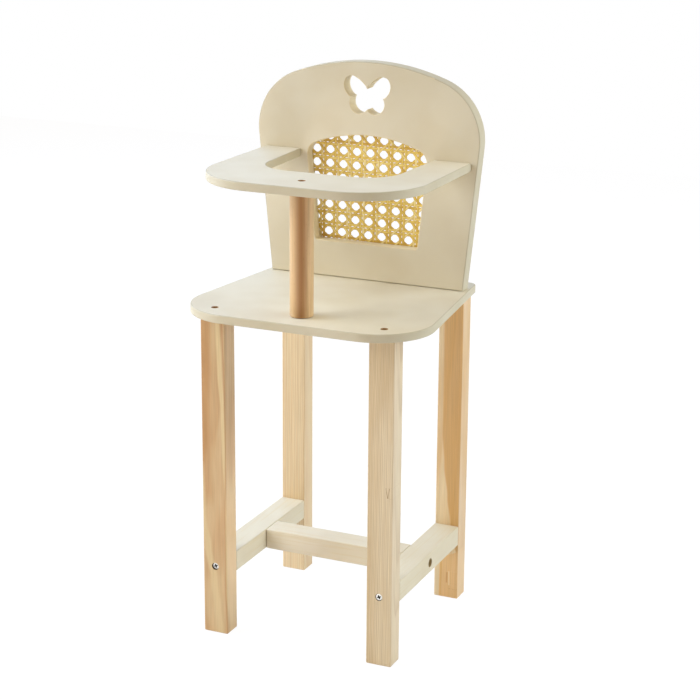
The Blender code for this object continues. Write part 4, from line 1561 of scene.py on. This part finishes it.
@dataclass(frozen=True)
class Softbox:
    """A square soft light that points at the middle of the chair."""

    name: str
    azimuth: float  # degrees round from the front towards +X
    elevation: float
    power: float
    colour: str
    size: float = 2.4
    away: float = 2.6
    aim_height: float = 0.3

    def hang(self) -> None:
        """Hangs the light."""
        lamp = bpy.data.lights.new(self.name, "AREA")
        lamp.shape, lamp.size, lamp.energy = "SQUARE", self.size, self.power
        lamp.color = linear(self.colour)[:3]
        thing = bpy.data.objects.new(self.name, lamp)
        bpy.context.scene.collection.objects.link(thing)
        out = outward(self.azimuth, self.elevation)
        thing.location = Vector((0, 0, self.aim_height)) + out * self.away
        thing.rotation_euler = (-out).to_track_quat("-Z", "Y").to_euler()
        thing.visible_camera = False


@dataclass
class Studio:
    """A white sweep under plain soft light, and the camera at the photograph's viewing angle."""

    boxes: tuple[Softbox, ...] = (
        Softbox("front_left_softbox", -60, 30, 36.5, "#FFF2BC", 2.0),
        Softbox("left_softbox", -75, 30, 76.0, "#BAD2FF"),
        Softbox("left_rear_softbox", -125, 40, 25.0, "#82C0FF"),
        Softbox("right_softbox", 105, 25, 53.0, "#EFFBFF"),
        Softbox("low_front_softbox", -15, -20, 0.95, "#FFF0E0", 0.25, 0.7),
    )
    ambient: str = "#FFD292"
    ambient_strength: float = 0.28
    floor_half: float = 2.6  # half its side, so that its far part, where the light falls off, isn't there
    floor_grey: str = "#E7E7E7"
    floor_glow: float = 1.06
    floor_whiteness: float = 0.9
    lens: float = 97.738
    azimuth: float = 24.119  # of the camera, in degrees, as are the next two
    elevation: float = 15.213
    roll: float = 0.400
    distance: float = 2.0221
    target: tuple[float, float, float] = (0.0116, 0.0109, 0.3533)
    sensor_wide: float = 36.0
    shift_up: float = -0.0643

    def build(self) -> None:
        """Sets the light, the floor and the camera."""
        for box in self.boxes:
            box.hang()
        self.light_world()
        self.lay_floor()
        self.place_camera()
        bpy.context.scene.view_settings.view_transform = "Standard"

    def seen_directly(self, tree: NodeTree) -> Node:
        """Tells rays that the viewer sees, straight or through gloss and glass, from light.

        Args:
            tree: The node tree that asks.

        Returns:
            A node that gives 1 for them and 0 for light.
        """
        rays = add_node(tree, "LightPath", {}).outputs
        gloss = add_node(
            tree, "Math", {0: rays["Is Glossy Ray"], 1: rays["Is Transmission Ray"]}, operation="MAXIMUM")
        return add_node(tree, "Math", {0: rays["Is Camera Ray"], 1: gloss}, operation="MAXIMUM")

    def light_world(self) -> None:
        """Makes the world white to look at, with a plain weak light from all round."""
        world = bpy.data.worlds.new("white_studio")
        bpy.context.scene.world = world
        world.use_nodes = True
        tree = world.node_tree
        soft = add_node(tree, "Background", {"Color": self.ambient, "Strength": self.ambient_strength})
        white = tree.nodes["Background"]
        feed(white, {"Color": "#FFFFFF", "Strength": 1.0})
        mixed = add_node(tree, "MixShader", {0: self.seen_directly(tree), 1: soft, 2: white})
        feed(tree.nodes["World Output"], {"Surface": mixed})

    def lay_floor(self) -> None:
        """Lays a matt pale floor, which keeps the chair's soft shadow."""
        shape = bmesh.new()
        bmesh.ops.create_grid(shape, x_segments=1, y_segments=1, size=self.floor_half)
        mesh = bpy.data.meshes.new("studio_floor")
        shape.to_mesh(mesh)
        shape.free()
        floor = bpy.data.objects.new("studio_floor", mesh)
        bpy.context.scene.collection.objects.link(floor)
        paper = bpy.data.materials.new("matt_white_paper")
        paper.use_nodes = True
        tree = paper.node_tree
        matt = add_node(tree, "BsdfDiffuse", {"Color": self.floor_grey})
        white = add_node(tree, "Emission", {"Color": "#FFFFFF", "Strength": self.floor_glow})
        share = add_node(
            tree, "Math", {0: self.seen_directly(tree), 1: self.floor_whiteness}, operation="MULTIPLY")
        mixed = add_node(tree, "MixShader", {0: share, 1: matt, 2: white})
        feed(tree.nodes["Material Output"], {"Surface": mixed})
        tree.nodes.remove(tree.nodes["Principled BSDF"])
        mesh.materials.append(paper)

    def place_camera(self) -> None:
        """Places the camera by its angles round the chair, its roll and its lens."""
        back = outward(self.azimuth, self.elevation)
        level = Vector((math.cos(math.radians(self.azimuth)), math.sin(math.radians(self.azimuth)), 0))
        above = back.cross(level)
        turn = math.radians(self.roll)
        right = level * math.cos(turn) + above * math.sin(turn)
        over = above * math.cos(turn) - level * math.sin(turn)
        data = bpy.data.cameras.new("photo_camera")
        data.lens, data.sensor_width, data.shift_y = self.lens, self.sensor_wide, self.shift_up
        camera = bpy.data.objects.new("photo_camera", data)
        bpy.context.scene.collection.objects.link(camera)
        turned_to = Matrix((right, over, back)).transposed().to_4x4()
        camera.matrix_world = Matrix.Translation(Vector(self.target) + back * self.distance) @ turned_to
        bpy.context.scene.camera = camera


def main() -> None:
    """Builds the chair and its studio, and reports each piece."""
    logging.basicConfig(level=logging.INFO, format="%(message)s")
    fixings = Fixings()
    fixings.plan()
    for assembly in (LegFrame(fixings), Seat(fixings), Backrest(fixings), Tray(fixings)):
        LOG.info("building %s", type(assembly).__name__)
        assembly.build()
    fixings.drive()
    fixings.dress_dowels()
    Studio().build()


if __name__ == "__main__":
    main()
